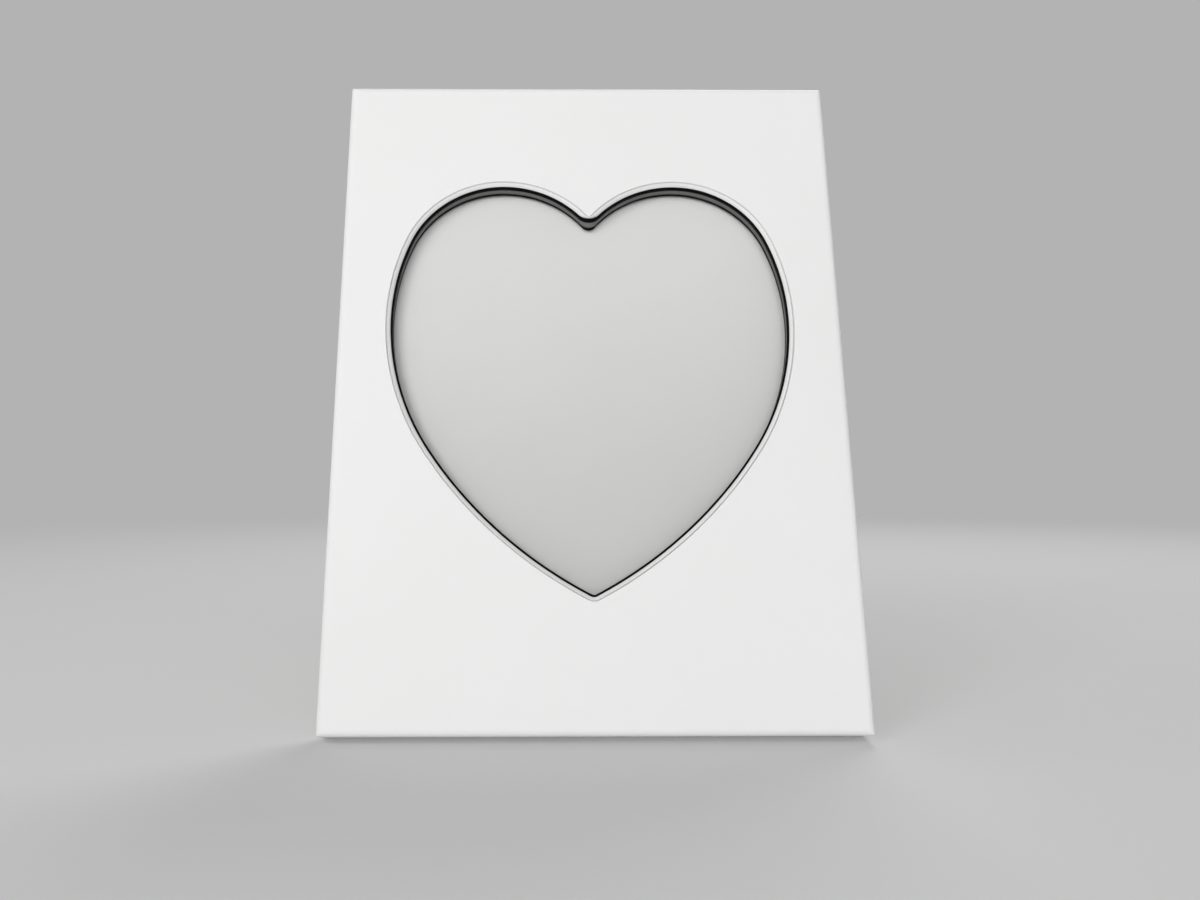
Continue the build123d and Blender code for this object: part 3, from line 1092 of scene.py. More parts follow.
@dataclass(frozen=True)
class SoftPad:
    """Dark felt of the wall pads, with short fuzzy fibres."""

    light: Colour = (0.085, 0.082, 0.08, 1)
    dark: Colour = (0.03, 0.03, 0.031, 1)
    fibre_scale: float = 2600
    tuft_scale: float = 700

    def material(self) -> Material:
        """Build the finish.

        Returns:
            The material.
        """
        shade = Shade("soft_pad")
        fibre = shade.noise(self.fibre_scale, 6)
        tone = shade.mix(shade.span(fibre, 0, 1, 0.35, 0.65), self.dark, self.light)
        relief = shade.bump(shade.math("ADD", fibre, shade.noise(self.tuft_scale, 3)), 0.5, 0.0002)
        return shade.dress(Base_Color=tone, Roughness=0.95, Normal=relief, Sheen_Weight=0.3)


@dataclass(frozen=True)
class TableTop:
    """Pale matte surface under the frame, which runs into the backdrop far away."""

    level: float = 0.84
    near_share: float = 0.4
    near_reach: float = 0.3
    far_reach: float = 1.6
    cloud_scale: float = 9

    def material(self, backdrop: float) -> Material:
        """Build the finish.

        Args:
            backdrop: Level of the backdrop.

        Returns:
            The material.
        """
        shade = Shade("pale_table")
        cloud = shade.span(shade.noise(self.cloud_scale, 2), 0, 1)
        tone = shade.mix(cloud, grey(self.level * 0.99), grey(self.level))
        shade.dress(Base_Color=tone, Roughness=0.9, Specular_IOR_Level=0.0)
        reach = shade.length(shade.here)
        share = shade.span(reach, self.near_share, 1, self.near_reach, self.far_reach, "SMOOTHSTEP")
        plain = shade.add("ShaderNodeEmission", {"Color": grey(backdrop)})
        lit = shade.surface.outputs[0]
        faded = shade.add("ShaderNodeMixShader", {0: share, 1: lit, 2: plain})
        return shade.show(shade.by_ray(lit, faded, Ray.CAMERA, Ray.GLOSSY, Ray.TRANSMISSION))


# Window


@dataclass(frozen=True)
class Arc:
    """Arc of the window's outline between two angles in degrees."""

    x: float
    y: float
    radius: float
    start: float
    end: float

    def point(self, share: float, offset: float) -> tuple[float, float]:
        """Point on the arc or beside it.

        Args:
            share: Share of the way along the arc.
            offset: Distance outwards from the arc.

        Returns:
            Its place across and up.
        """
        angle = math.radians(self.start + share * (self.end - self.start))
        reach = self.radius + offset
        return self.x + reach * math.cos(angle), self.y + reach * math.sin(angle)

    @property
    def length(self) -> float:
        """Length of the arc."""
        return self.radius * math.radians(abs(self.end - self.start))


def heading_vector(heading: float) -> Vector:
    """Unit step along a heading in degrees."""
    return Vector((math.cos(math.radians(heading)), math.sin(math.radians(heading))))


def clockwise_arc(start: Vector, heading: float, reach: float, turn: float) -> Arc:
    """Arc that leaves a point along a heading and turns clockwise.

    Args:
        start: First point.
        heading: Heading there, in degrees.
        reach: Length of its tangents.
        turn: Angle that it turns through, in degrees.

    Returns:
        The arc.
    """
    radius = reach / math.tan(math.radians(turn / 2))
    centre = start + radius * heading_vector(heading - 90)
    return Arc(centre.x, centre.y, radius, heading + 90, heading + 90 - turn)


def arc_pair(start: Vector, out: float, end: Vector, back: float, reach: float) -> tuple[Arc, Arc]:
    """Two arcs, tangent to each other, between two points.

    Args:
        start: First point.
        out: Heading at the first point.
        end: Last point.
        back: Heading at the last point.
        reach: Tangent length of the first arc.

    Returns:
        The two arcs.
    """
    gap = end - start - reach * heading_vector(out)
    last = (gap.length_squared - reach**2) / (2 * (gap.dot(heading_vector(back)) + reach))
    run = gap - last * heading_vector(back)
    middle = math.degrees(math.atan2(run.y, run.x))
    first = clockwise_arc(start, out, reach, out - middle)
    return first, clockwise_arc(Vector(first.point(1, 0)), middle, last, middle - back)


@dataclass(frozen=True)
class HeartWindow:
    """Outline of the window: arcs from the cleft round the right half to the tip, and their mirror image."""

    width: float = 119.0
    height: float = 127.7
    top: float = 164.7
    lobe_spacing: float = 52.2
    cleft_depth: float = 13.2
    widest_drop: float = 44.8
    tip_half_angle: float = 62.7
    tip_radius: float = 2.0
    shoulder_fullness: float = 0.613
    flank_fullness: float = 0.266
    edge_depth: float = 0.9
    glass_depth: float = 4.4
    blunt_face: float = 1.6
    blunt_edge: float = 4.4
    blunt_glass: float = 1.8
    blunt_least: float = 0.05
    step: float = 0.8
    least_steps: int = 6

    def blunting(self, depth: float) -> float:
        """Radius that blunts the cleft's point: most at the bevel's foot, little at the face and the glass.

        Args:
            depth: Depth behind the face.

        Returns:
            The radius.
        """
        if depth < self.edge_depth:
            return self.blunt_face + (self.blunt_edge - self.blunt_face) * depth / self.edge_depth
        share = min((depth - self.edge_depth) / (self.glass_depth - self.edge_depth), 1)
        return self.blunt_edge + (self.blunt_glass - self.blunt_edge) * share

    def arcs(self, offset: float, depth: float) -> list[Arc]:
        """Arcs of the right half from the blunted cleft to the tip.

        Args:
            offset: Distance outside the window's edge, for which the cleft is drawn.
            depth: Depth behind the face.

        Returns:
            The arcs in order.
        """
        lobe = self.lobe_spacing / 2
        inner = (lobe**2 + self.cleft_depth**2) / (2 * self.cleft_depth)
        point = max(self.blunting(depth) - offset, self.blunt_least)
        rise = math.sqrt((inner + offset + point) ** 2 - lobe**2)
        meeting = math.degrees(math.atan2(rise, -lobe))
        cleft = Arc(0, self.top - inner + rise, point - offset, -90, meeting - 180)
        crown = Vector((lobe, self.top))
        widest = Vector((self.width / 2, self.top - self.widest_drop))
        tip = Vector((0, self.top - self.height))
        shoulder = arc_pair(crown, 0, widest, -90, self.shoulder_fullness * (self.width / 2 - lobe))
        reach = self.flank_fullness * (self.height - self.widest_drop)
        bend, flank = arc_pair(widest, -90, tip, -90 - self.tip_half_angle, reach)
        tip_y = flank.y - math.sqrt((flank.radius - self.tip_radius) ** 2 - flank.x**2)
        tip_angle = math.degrees(math.atan2(tip_y - flank.y, -flank.x))
        run = Arc(flank.x, flank.y, flank.radius, flank.start, tip_angle)
        nose = Arc(0, tip_y, self.tip_radius, tip_angle, -90)
        return [cleft, Arc(lobe, self.top - inner, inner, meeting, 90), *shoulder, bend, run, nose]

    def loop(self, offset: float, depth: float) -> list[Vector]:
        """Whole outline, clockwise from the cleft as seen from the front.

        Args:
            offset: Distance outside the window's edge.
            depth: Depth behind the face.

        Returns:
            Points, matched by index at every offset.
        """
        right = []
        drawn = self.arcs(offset, depth)
        for plain, arc in zip(self.arcs(0, self.edge_depth), drawn):
            steps = max(self.least_steps, round(plain.length / self.step))
            right.extend(arc.point(index / steps, offset) for index in range(steps))
        right.append(drawn[-1].point(1, offset))
        right[0] = (0.0, right[0][1])
        right[-1] = (0.0, right[-1][1])
        left = [(-x, y) for x, y in reversed(right[1:-1])]
        return [Vector((x, y, -depth)) for x, y in right + left]


# Sub-assemblies


@dataclass(frozen=True)
class Station:
    """Place round the board: signs of its side or corner, and where it stands there.

    On a side, place is the distance from the side's middle. On a corner it is the share of the corner's turn.
    """

    x_sign: int
    y_sign: int
    place: float


@dataclass(frozen=True)
class FrontFrame:
    """Lacquered board: rounded edges, a heart window with a fine groove round its bevel, and the rebate."""

    width: float = 150.0
    height: float = 200.0
    rim: float = 9.5
    face_round: float = 2.0
    face_steps: int = 9
    back_round: float = 0.8
    back_steps: int = 4
    corner: float = 0.8
    corner_least: float = 0.25
    corner_steps: int = 4
    bevel_width: float = 1.4
    bevel_depth: float = 0.9
    bevel_step: float = 0.1
    quirk_width: float = 0.46
    quirk_depth: float = 0.9
    soft_edge: float = 0.12
    edge_run: float = 0.4
    rebate_run: float = 0.3

    @property
    def half(self) -> Vector:
        """Half the board's width and height."""
        return Vector((self.width / 2, self.height / 2))

    def stations(self, loop: Sequence[Vector]) -> list[Station]:
        """Match the window's points to places round the board.

        Args:
            loop: Points of the window's outline.

        Returns:
            A station for each point.
        """
        half = self.half
        rays = [(point.to_2d() - Vector((0, half.y))).normalized() for point in loop]
        places = []
        for ray in rays:
            reach = min(half.x / max(abs(ray.x), NEAR), half.y / max(abs(ray.y), NEAR))
            spot = ray * reach
            if abs(spot.x) >= half.x - NEAR:
                places.append(Station(int(math.copysign(1, spot.x)), 0, spot.y))
            else:
                places.append(Station(0, int(math.copysign(1, spot.y)), spot.x))
        for x_sign, y_sign in ((1, 1), (1, -1), (-1, -1), (-1, 1)):
            aim = Vector((x_sign * half.x, y_sign * half.y)).normalized()
            nearest = max(range(len(rays)), key=lambda index: rays[index].dot(aim))
            for step in range(self.corner_steps + 1):
                index = (nearest + step - self.corner_steps // 2) % len(rays)
                places[index] = Station(x_sign, y_sign, step / self.corner_steps)
        return places

    def edge(self, stations: Sequence[Station], inset: float, depth: float) -> list[Vector]:
        """Rounded rectangle inside the board's outline.

        Args:
            stations: Places round the board.
            inset: Distance inside the outline.
            depth: Depth behind the face.

        Returns:
            Points of the loop.
        """
        corner = max(self.corner - inset, self.corner_least)
        flat = Vector((self.width / 2 - inset - corner, self.height / 2 - inset - corner))
        full = Vector((self.width / 2 - self.corner, self.height / 2 - self.corner))
        points = []
        for station in stations:
            x_sign, y_sign, place = station.x_sign, station.y_sign, station.place
            if x_sign and y_sign:
                angle = math.pi / 2 * (1 - place if x_sign == y_sign else place)
                x = x_sign * (flat.x + corner * math.cos(angle))
                y = y_sign * (flat.y + corner * math.sin(angle))
            elif x_sign:
                x = x_sign * (flat.x + corner)
                y = place * flat.y / full.y
            else:
                x = place * flat.x / full.x
                y = y_sign * (flat.y + corner)
            points.append(Vector((x, y + self.height / 2, -depth)))
        return points

    def window_profile(self, layers: Layers) -> Profile:
        """Profile of the board from the lip's back over the bevel and its groove to the face.

        Args:
            layers: Thicknesses of the layers.

        Returns:
            Offsets from the window's edge with depths.
        """
        soft = self.soft_edge
        rise = self.bevel_width - self.quirk_width
        slope = (self.bevel_depth - self.bevel_step) / rise
        return [
            (0, layers.lip),
            (0, self.bevel_depth + 4 * soft),
            (0, self.bevel_depth + soft),
            (soft * 0.3, self.bevel_depth + soft * 0.1),
            (soft, self.bevel_depth - soft * slope),
            (rise / 2, self.bevel_depth - rise / 2 * slope),
            (rise - soft, self.bevel_step + soft * slope),
            (rise, self.bevel_step + soft * 0.2),
            (rise + soft * 0.5, self.bevel_step + soft * 0.6),
            (self.bevel_width - self.quirk_width / 2, self.quirk_depth),
            (self.bevel_width - soft * 0.25, soft * 0.5),
            (self.bevel_width + soft * 0.25, 0),
            (self.bevel_width + 5 * soft, 0),
        ]

    def outside_profile(self, layers: Layers) -> Profile:
        """Profile of the board from the face round the outside and the back to the rebate.

        Args:
            layers: Thicknesses of the layers.

        Returns:
            Insets from the outline with depths.
        """
        soft, run, back = self.soft_edge, self.edge_run, layers.frame_back
        return [
            (self.face_round + run, 0.0),
            *edge_steps(self.face_round, self.face_steps),
            (0, self.face_round + run),
            (0, back - self.back_round - run),
            *((inset, back - drop) for inset, drop in reversed(edge_steps(self.back_round, self.back_steps))),
            (self.back_round + run, back),
            (self.rim - 2 * soft, back),
            (self.rim - soft * 0.3, back - soft * 0.3),
            (self.rim, back - 2 * soft),
            (self.rim, layers.lip + self.rebate_run),
            (self.rim, layers.lip),
        ]

    def build(self, heart: HeartWindow, bench: Bench, lacquer: Material) -> None:
        """Model the board as one closed ring and dress it.

        Args:
            heart: Outline of the window.
            bench: Where the bench stands.
            lacquer: Finish of the board.
        """
        draft = Draft()
        stations = self.stations(heart.loop(0, self.bevel_depth))
        window, outside = self.window_profile(bench.layers), self.outside_profile(bench.layers)
        loops = [draft.loop(heart.loop(offset, depth)) for offset, depth in window]
        loops += [draft.loop(self.edge(stations, inset, depth)) for inset, depth in outside]
        draft.tube(loops, ring=True)
        piece = new_piece(draft.mesh("heart_front_board"))
        install(piece, bench.upright, lacquer, Body.FRAME, Slot.LACQUER, "front_frame")


@dataclass(frozen=True)
class HeartLiner:
    """Trim whose dark finish paints the shade of the window's wall: a wall in the window, drawn down a little
    towards the glass, and a flange behind the lip.
    """

    seat: float = 0.03
    wall: float = 0.6
    flange: float = 3.0
    front: float = 0.9
    edge: float = 0.1
    draw: float = 0.55

    def build(self, heart: HeartWindow, bench: Bench, trim: Material) -> None:
        """Model the trim as one closed ring and dress it.

        Args:
            heart: Outline of the window.
            bench: Where the bench stands.
            trim: Finish of the trim.
        """
        outer, inner = -self.seat, -self.seat - self.wall
        back, soft, behind_lip = bench.layers.glass_front, self.edge, bench.layers.lip + self.seat
        front, nick = self.front, 0.3 * soft
        profile = [
            (outer, front + soft), (outer - nick, front + nick), (outer - soft, front),
            (inner + soft, front), (inner + nick, front + nick), (inner, front + soft),
            (inner, back - soft), (inner + soft, back), (self.flange, back), (self.flange, behind_lip),
            (outer, behind_lip),
        ]
        draft = Draft()
        loops = []
        for offset, depth in profile:
            inside = offset < outer and depth > front + soft
            drop = Vector((0, -self.draw if inside else 0, 0))
            loops.append(draft.loop(point + drop for point in heart.loop(offset, depth)))
        draft.tube(loops, ring=True)
        piece = new_piece(draft.mesh("heart_trim"))
        install(piece, bench.upright, trim, Body.FRAME, Slot.TRIM, "heart_liner")


@dataclass(frozen=True)
class Glazing:
    """Clear pane behind the window, with its sharp edges taken off and a hair of air before the card."""

    width: float = 130.0
    height: float = 180.0
    corner: float = 0.4
    corner_steps: int = 3
    edge: float = 0.15
    air: float = 0.05

    def build(self, bench: Bench, middle: float, clear: Material) -> None:
        """Model and dress the pane.

        Args:
            bench: Where the bench stands.
            middle: Height of the pane's middle.
            clear: Finish of the pane.
        """
        x, y = self.width / 2 - self.corner, self.height / 2 - self.corner
        spots = ((-x, middle + y), (x, middle + y), (x, middle - y), (-x, middle - y))
        plate = Plate(tuple(Disc(*spot, self.corner) for spot in spots), self.corner_steps)
        front = bench.layers.glass_front + self.air / 2
        back = bench.layers.glass_front + bench.layers.glazing - self.air
        pane = new_piece(plate_mesh("clear_pane", lambda depth: plate, front, back, self.edge))
        install(pane, bench.upright, clear, Body.FRAME, Slot.CLEAR, "glazing")


def dress_nodes(materials: dict[str, Material]) -> None:
    """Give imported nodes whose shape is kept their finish.

    Args:
        materials: Finish by node.
    """
    for node, material in materials.items():
        piece = frame["nodes"][node]
        if not piece.material_slots:
            piece.data.materials.append(material)
        for slot in piece.material_slots:
            slot.material = material
        log.info("%s keeps its packed shape", node)


@dataclass(frozen=True)
class BackFittings:
    """Turn buttons with their screws, and the wall pads, on the frame's back."""

    button_x: float = 70.25
    button_y: tuple[float, float] = (49.5, 150.5)
    clearance: float = 0.05
    thickness: float = 1.0
    button_edge: float = 0.25
    pivot_radius: float = 4.5
    tip_radius: float = 3.2
    reach: float = 15.0
    rib_length: float = 9.0
    rib_width: float = 2.2
    rib_height: float = 0.4
    head_radius: float = 3.0
    head_height: float = 1.8
    head_rim: float = 0.22
    cross_length: float = 3.4
    cross_width: float = 0.8
    cross_depth: float = 1.0
    pad_x: float = 70.25
    pad_y: tuple[float, float] = (4.75, 195.25)
    pad_radius: float = 3.5
    pad_thickness: float = 1.6
    pad_edge: float = 0.55
    pad_crown: float = 0.2

    def button_form(self) -> Form:
        """Tree of a stamped button, its pivot at the origin and its tip along X.

        Returns:
            The tree.
        """
        form = Form("Stamped turn button", {
            "Pivot Radius": self.pivot_radius, "Tip Radius": self.tip_radius, "Reach": self.reach,
            "Thickness": self.thickness, "Edge": self.button_edge, "Rib Length": self.rib_length,
            "Rib Width": self.rib_width, "Rib Height": self.rib_height,
        })
        given = form.given
        rings = form.rings(0.0, given["Pivot Radius"], given["Thickness"], given["Edge"])
        rings += form.rings(given["Reach"], given["Tip Radius"], given["Thickness"], given["Edge"])
        middle = form.sum((0.5, given["Reach"]), (0.5, given["Pivot Radius"]))
        half = form.sum((0.5, given["Rib Width"]))
        balls = []
        for end in (-0.5, 0.5):
            ball = form.add("GeometryNodeMeshUVSphere", {"Segments": 24, "Rings": 12, "Radius": 1.0})
            x = form.sum((1, middle), (end, given["Rib Length"]), (-end, given["Rib Width"]))
            size = form.place(half, half, given["Rib Height"])
            balls.append(form.move(ball, x, given["Thickness"], Scale=size))
        parts = [form.hull(rings), form.hull(balls)]
        form.close(form.add("GeometryNodeMeshBoolean", {"Mesh 2": parts}, operation="UNION"))
        return form

    def screw_form(self) -> Form:
        """Tree that sets a domed head with a cross recess on each point.

        Returns:
            The tree.
        """
        form = Form("Screw heads", {
            "Radius": self.head_radius, "Height": self.head_height, "Cross Length": self.cross_length,
            "Cross Width": self.cross_width, "Cross Depth": self.cross_depth,
        })
        given = form.given
        head = form.domed_head(given["Radius"], given["Height"], self.head_rim)
        size = form.place(given["Cross Length"], given["Cross Width"], form.sum((2, given["Cross Depth"])))
        cutters = []
        for turn in (0.0, math.pi / 2):
            box = form.add("GeometryNodeMeshCube", {"Size": size})
            cutters.append(form.move(box, 0.0, given["Height"], Rotation=(0.0, 0.0, turn)))
        meshes = {"Mesh 1": head, "Mesh 2": cutters}
        cut = form.add("GeometryNodeMeshBoolean", meshes, operation="DIFFERENCE", solver="MANIFOLD")
        form.close(form.scatter(cut))
        return form

    def pad_form(self) -> Form:
        """Tree that sets a soft crowned pad on each point.

        Returns:
            The tree.
        """
        form = Form("Wall pads", {
            "Radius": self.pad_radius, "Thickness": self.pad_thickness - self.pad_crown,
            "Edge": self.pad_edge, "Crown": self.pad_crown,
        })
        given = form.given
        rings = form.rings(0.0, given["Radius"], given["Thickness"], given["Edge"], given["Crown"])
        form.close(form.scatter(form.hull(rings)))
        return form

    def build(self, bench: Bench, steel: Material, felt: Material) -> None:
        """Model and dress the buttons, screws and pads.

        Args:
            bench: Where the bench stands.
            steel: Finish of the buttons and screws.
            felt: Finish of the pads.
        """
        buttons = self.button_form()
        front = bench.layers.frame_back + self.clearance
        corners = [f"{level.name}_{side.name}".lower() for level in Level for side in Side]
        places = [(side, y) for y in self.button_y for side in Side]
        seats = []
        for corner, (side, y) in zip(corners, places):
            x = side.value * self.button_x
            seats.append(Vector((x, y, -front - self.thickness - self.clearance)))
            turn = Matrix.Rotation(math.pi, 4, "X")
            if side is Side.RIGHT:
                turn = Matrix.Rotation(math.pi, 4, "Z") @ turn
            placing = bench.upright @ Matrix.Translation((x, y, -front)) @ turn
            piece = buttons.make(f"button_{corner}", [Vector()], steel)
            body = Body(f"turn_button_{corner}")
            install(piece, placing, steel, body, Slot.STEEL, f"turn_button_{corner}")
        screws = self.screw_form().make("button_screws", seats, steel)
        install(screws, bench.upright, steel, Body.FRAME, Slot.STEEL, "turn_button_screws")
        back = -bench.layers.frame_back
        spots = [Vector((side.value * self.pad_x, y, back)) for y in self.pad_y for side in Side]
        pads = self.pad_form().make("wall_pads", spots, felt)
        nodes = [f"bumper_pad_{corner}" for corner in corners]
        install(pads, bench.upright, felt, Body.FRAME, Slot.PAD, *nodes)


@dataclass(frozen=True)
class RolledStrip:
    """Steel strip whose end is rolled round a pin, drawn with the pin's axis along X at the origin.

    The strip runs along +Y at its far end. Its outer face is the one that touches what it is fixed to.
    Columns are the places across it where its outline steps, and rolled says which of the bands between them
    run on past the notch into the roll.
    """

    thickness: float
    outer_radius: float
    length: float
    columns: tuple[float, ...]
    rolled: tuple[bool, ...]
    notch: float
    corner: float
    roll: float = 288.0
    roll_steps: int = 48
    corner_steps: int = 6
    soft_edge: float = 0.12
    soft_share: float = 1 / 6
    soft_angle: float = 55.0

    def path(self) -> list[Row]:
        """Middle line of the strip from its far end into the roll.

        Returns:
            Rows by their distance from the far end.
        """
        middle = self.outer_radius - self.thickness / 2
        rows = []
        turns = [math.pi / 2 * step / self.corner_steps for step in range(self.corner_steps + 1)]
        stops = [self.length - self.corner * (1 - math.cos(turn)) for turn in turns]
        for y in stops + [self.notch, self.notch / 2]:
            rows.append(Row(self.length - y, Vector((0, y, middle)), Vector((0, 0, 1))))
        for step in range(self.roll_steps + 1):
            angle = math.radians(self.roll * step / self.roll_steps)
            normal = Vector((0, -math.sin(angle), math.cos(angle)))
            rows.append(Row(self.length + middle * angle, normal * middle, normal))
        return rows

    def narrowing(self, reach: float) -> float:
        """How much the strip narrows on each side at its rounded far corners.

        Args:
            reach: Distance from the far end.

        Returns:
            Distance inside the strip's side.
        """
        if reach >= self.corner:
            return 0.0
        return self.corner - math.sqrt(max(self.corner**2 - (self.corner - reach) ** 2, 0))

    def mesh(self, name: str) -> Mesh:
        """Closed shell of the strip.

        Args:
            name: Name of the mesh.

        Returns:
            The mesh, with the strip's plate above the axis.
        """
        draft = Draft()
        rows = self.path()
        index: dict[tuple[int, int, int], int] = {}
        widest = self.columns[-1]
        for number, row in enumerate(rows):
            narrow = 1 - self.narrowing(row.reach) / widest
            for column, x in enumerate(self.columns):
                for face, sign in enumerate((-1, 1)):
                    point = row.place + row.normal * (sign * self.thickness / 2) + Vector((x * narrow, 0, 0))
                    index[number, column, face] = draft.loop([point])[0]
        kept = set()
        for number, row in enumerate(rows[1:]):
            inside_notch = row.reach > self.length - self.notch + NEAR
            for column, runs_on in enumerate(self.rolled):
                if runs_on or not inside_notch:
                    kept.add((number, column))
        for number, column in kept:
            corners = ((number, column), (number, column + 1), (number + 1, column + 1), (number + 1, column))
            for face in (0, 1):
                draft.faces.append(tuple(index[(*corner, face)] for corner in corners))
            beside = ((number - 1, column), (number, column + 1), (number + 1, column), (number, column - 1))
            for step, cell in enumerate(beside):
                if cell not in kept:
                    first, second = corners[step], corners[(step + 1) % 4]
                    draft.faces.append((index[(*first, 0)], index[(*second, 0)],
                                        index[(*second, 1)], index[(*first, 1)]))
        mesh = draft.mesh(name)
        clean_mesh(mesh)
        return mesh

    def piece(self, name: str) -> Piece:
        """Model the strip with softened edges.

        Args:
            name: Name of the piece.

        Returns:
            The piece, in its own millimetres.
        """
        piece = new_piece(self.mesh(name))
        soft = piece.modifiers.new("Soft edges", "BEVEL")
        soft.width = min(self.soft_edge, self.thickness * self.soft_share)
        soft.segments = 2
        soft.angle_limit = math.radians(self.soft_angle)
        soft.use_clamp_overlap = True
        plain_mesh(piece)
        clean_mesh(piece.data)
        return piece


def wire_form() -> Form:
    """Tree that bends round wire along a path, with rounded corners.

    Returns:
        The tree.
    """
    form = Form("Bent wire", {"Wire Radius": 0.8, "Bend": 2.5})
    given = form.given
    path = form.add("GeometryNodeMeshToCurve", {0: given["Geometry"]})
    bends = {"Curve": path, "Radius": given["Bend"], "Count": 8, "Limit Radius": True}
    path = form.add("GeometryNodeFilletCurve", bends, mode="POLY")
    section = form.add("GeometryNodeCurvePrimitiveCircle", {"Resolution": 16, "Radius": given["Wire Radius"]})
    wire = {"Curve": path, "Profile Curve": section, "Fill Caps": True}
    form.close(form.add("GeometryNodeCurveToMesh", wire))
    return form


@dataclass(frozen=True)
class WallHanger:
    """Strap riveted to the back board, folded round the bar of a triangular wire ring."""

    pivot_height: float = 172.0
    strap_thickness: float = 0.6
    strap_width: float = 9.0
    strap_tail: float = 14.0
    strap_round: float = 3.0
    strap_notch: float = 2.0
    strap_roll: float = 300.0
    rivet_drop: float = 8.0
    ring_width: float = 22.0
    ring_height: float = 16.0
    wire_radius: float = 0.8
    ring_clearance: float = 0.15
    bend: float = 2.5
    lean: float = 15.0

    @property
    def barrel(self) -> float:
        """Outer radius of the strap's fold."""
        return self.wire_radius + self.ring_clearance + self.strap_thickness

    def rivet_seat(self, layers: Layers) -> Vector:
        """Where the strap's rivet head sits."""
        return Vector((0, self.pivot_height - self.rivet_drop, -layers.board_back - self.strap_thickness))

    def build(self, bench: Bench, steel: Material, wire: Form) -> None:
        """Model and dress the strap and the ring.

        Args:
            bench: Where the bench stands.
            steel: Finish of both.
            wire: Tree that bends wire.
        """
        half, ends = self.strap_width / 2, self.ring_width / 2
        axis = Matrix.Translation((0, self.pivot_height, -bench.layers.board_back - self.barrel))
        strip = RolledStrip(self.strap_thickness, self.barrel, self.strap_tail, (-half, 0.0, half),
                            (True, True), self.strap_notch, self.strap_round, self.strap_roll)
        down = Matrix.Rotation(math.pi, 4, "Z")
        strap = strip.piece("hanger_fold")
        install(strap, bench.upright @ axis @ down, steel, Body.FRAME, Slot.STEEL, "hanger_strap")
        corners = [Vector((ends, 0, 0)), Vector((0, -self.ring_height, 0)), Vector((-ends, 0, 0))]
        sizes = {"Wire Radius": self.wire_radius, "Bend": self.bend}
        ring = wire.make("hanger_wire", corners, steel, Path.CLOSED, **sizes)
        hang = Matrix.Rotation(math.radians(self.lean), 4, "X")
        install(ring, bench.upright @ axis @ hang, steel, Body.RING, Slot.STEEL, "hanger_ring")


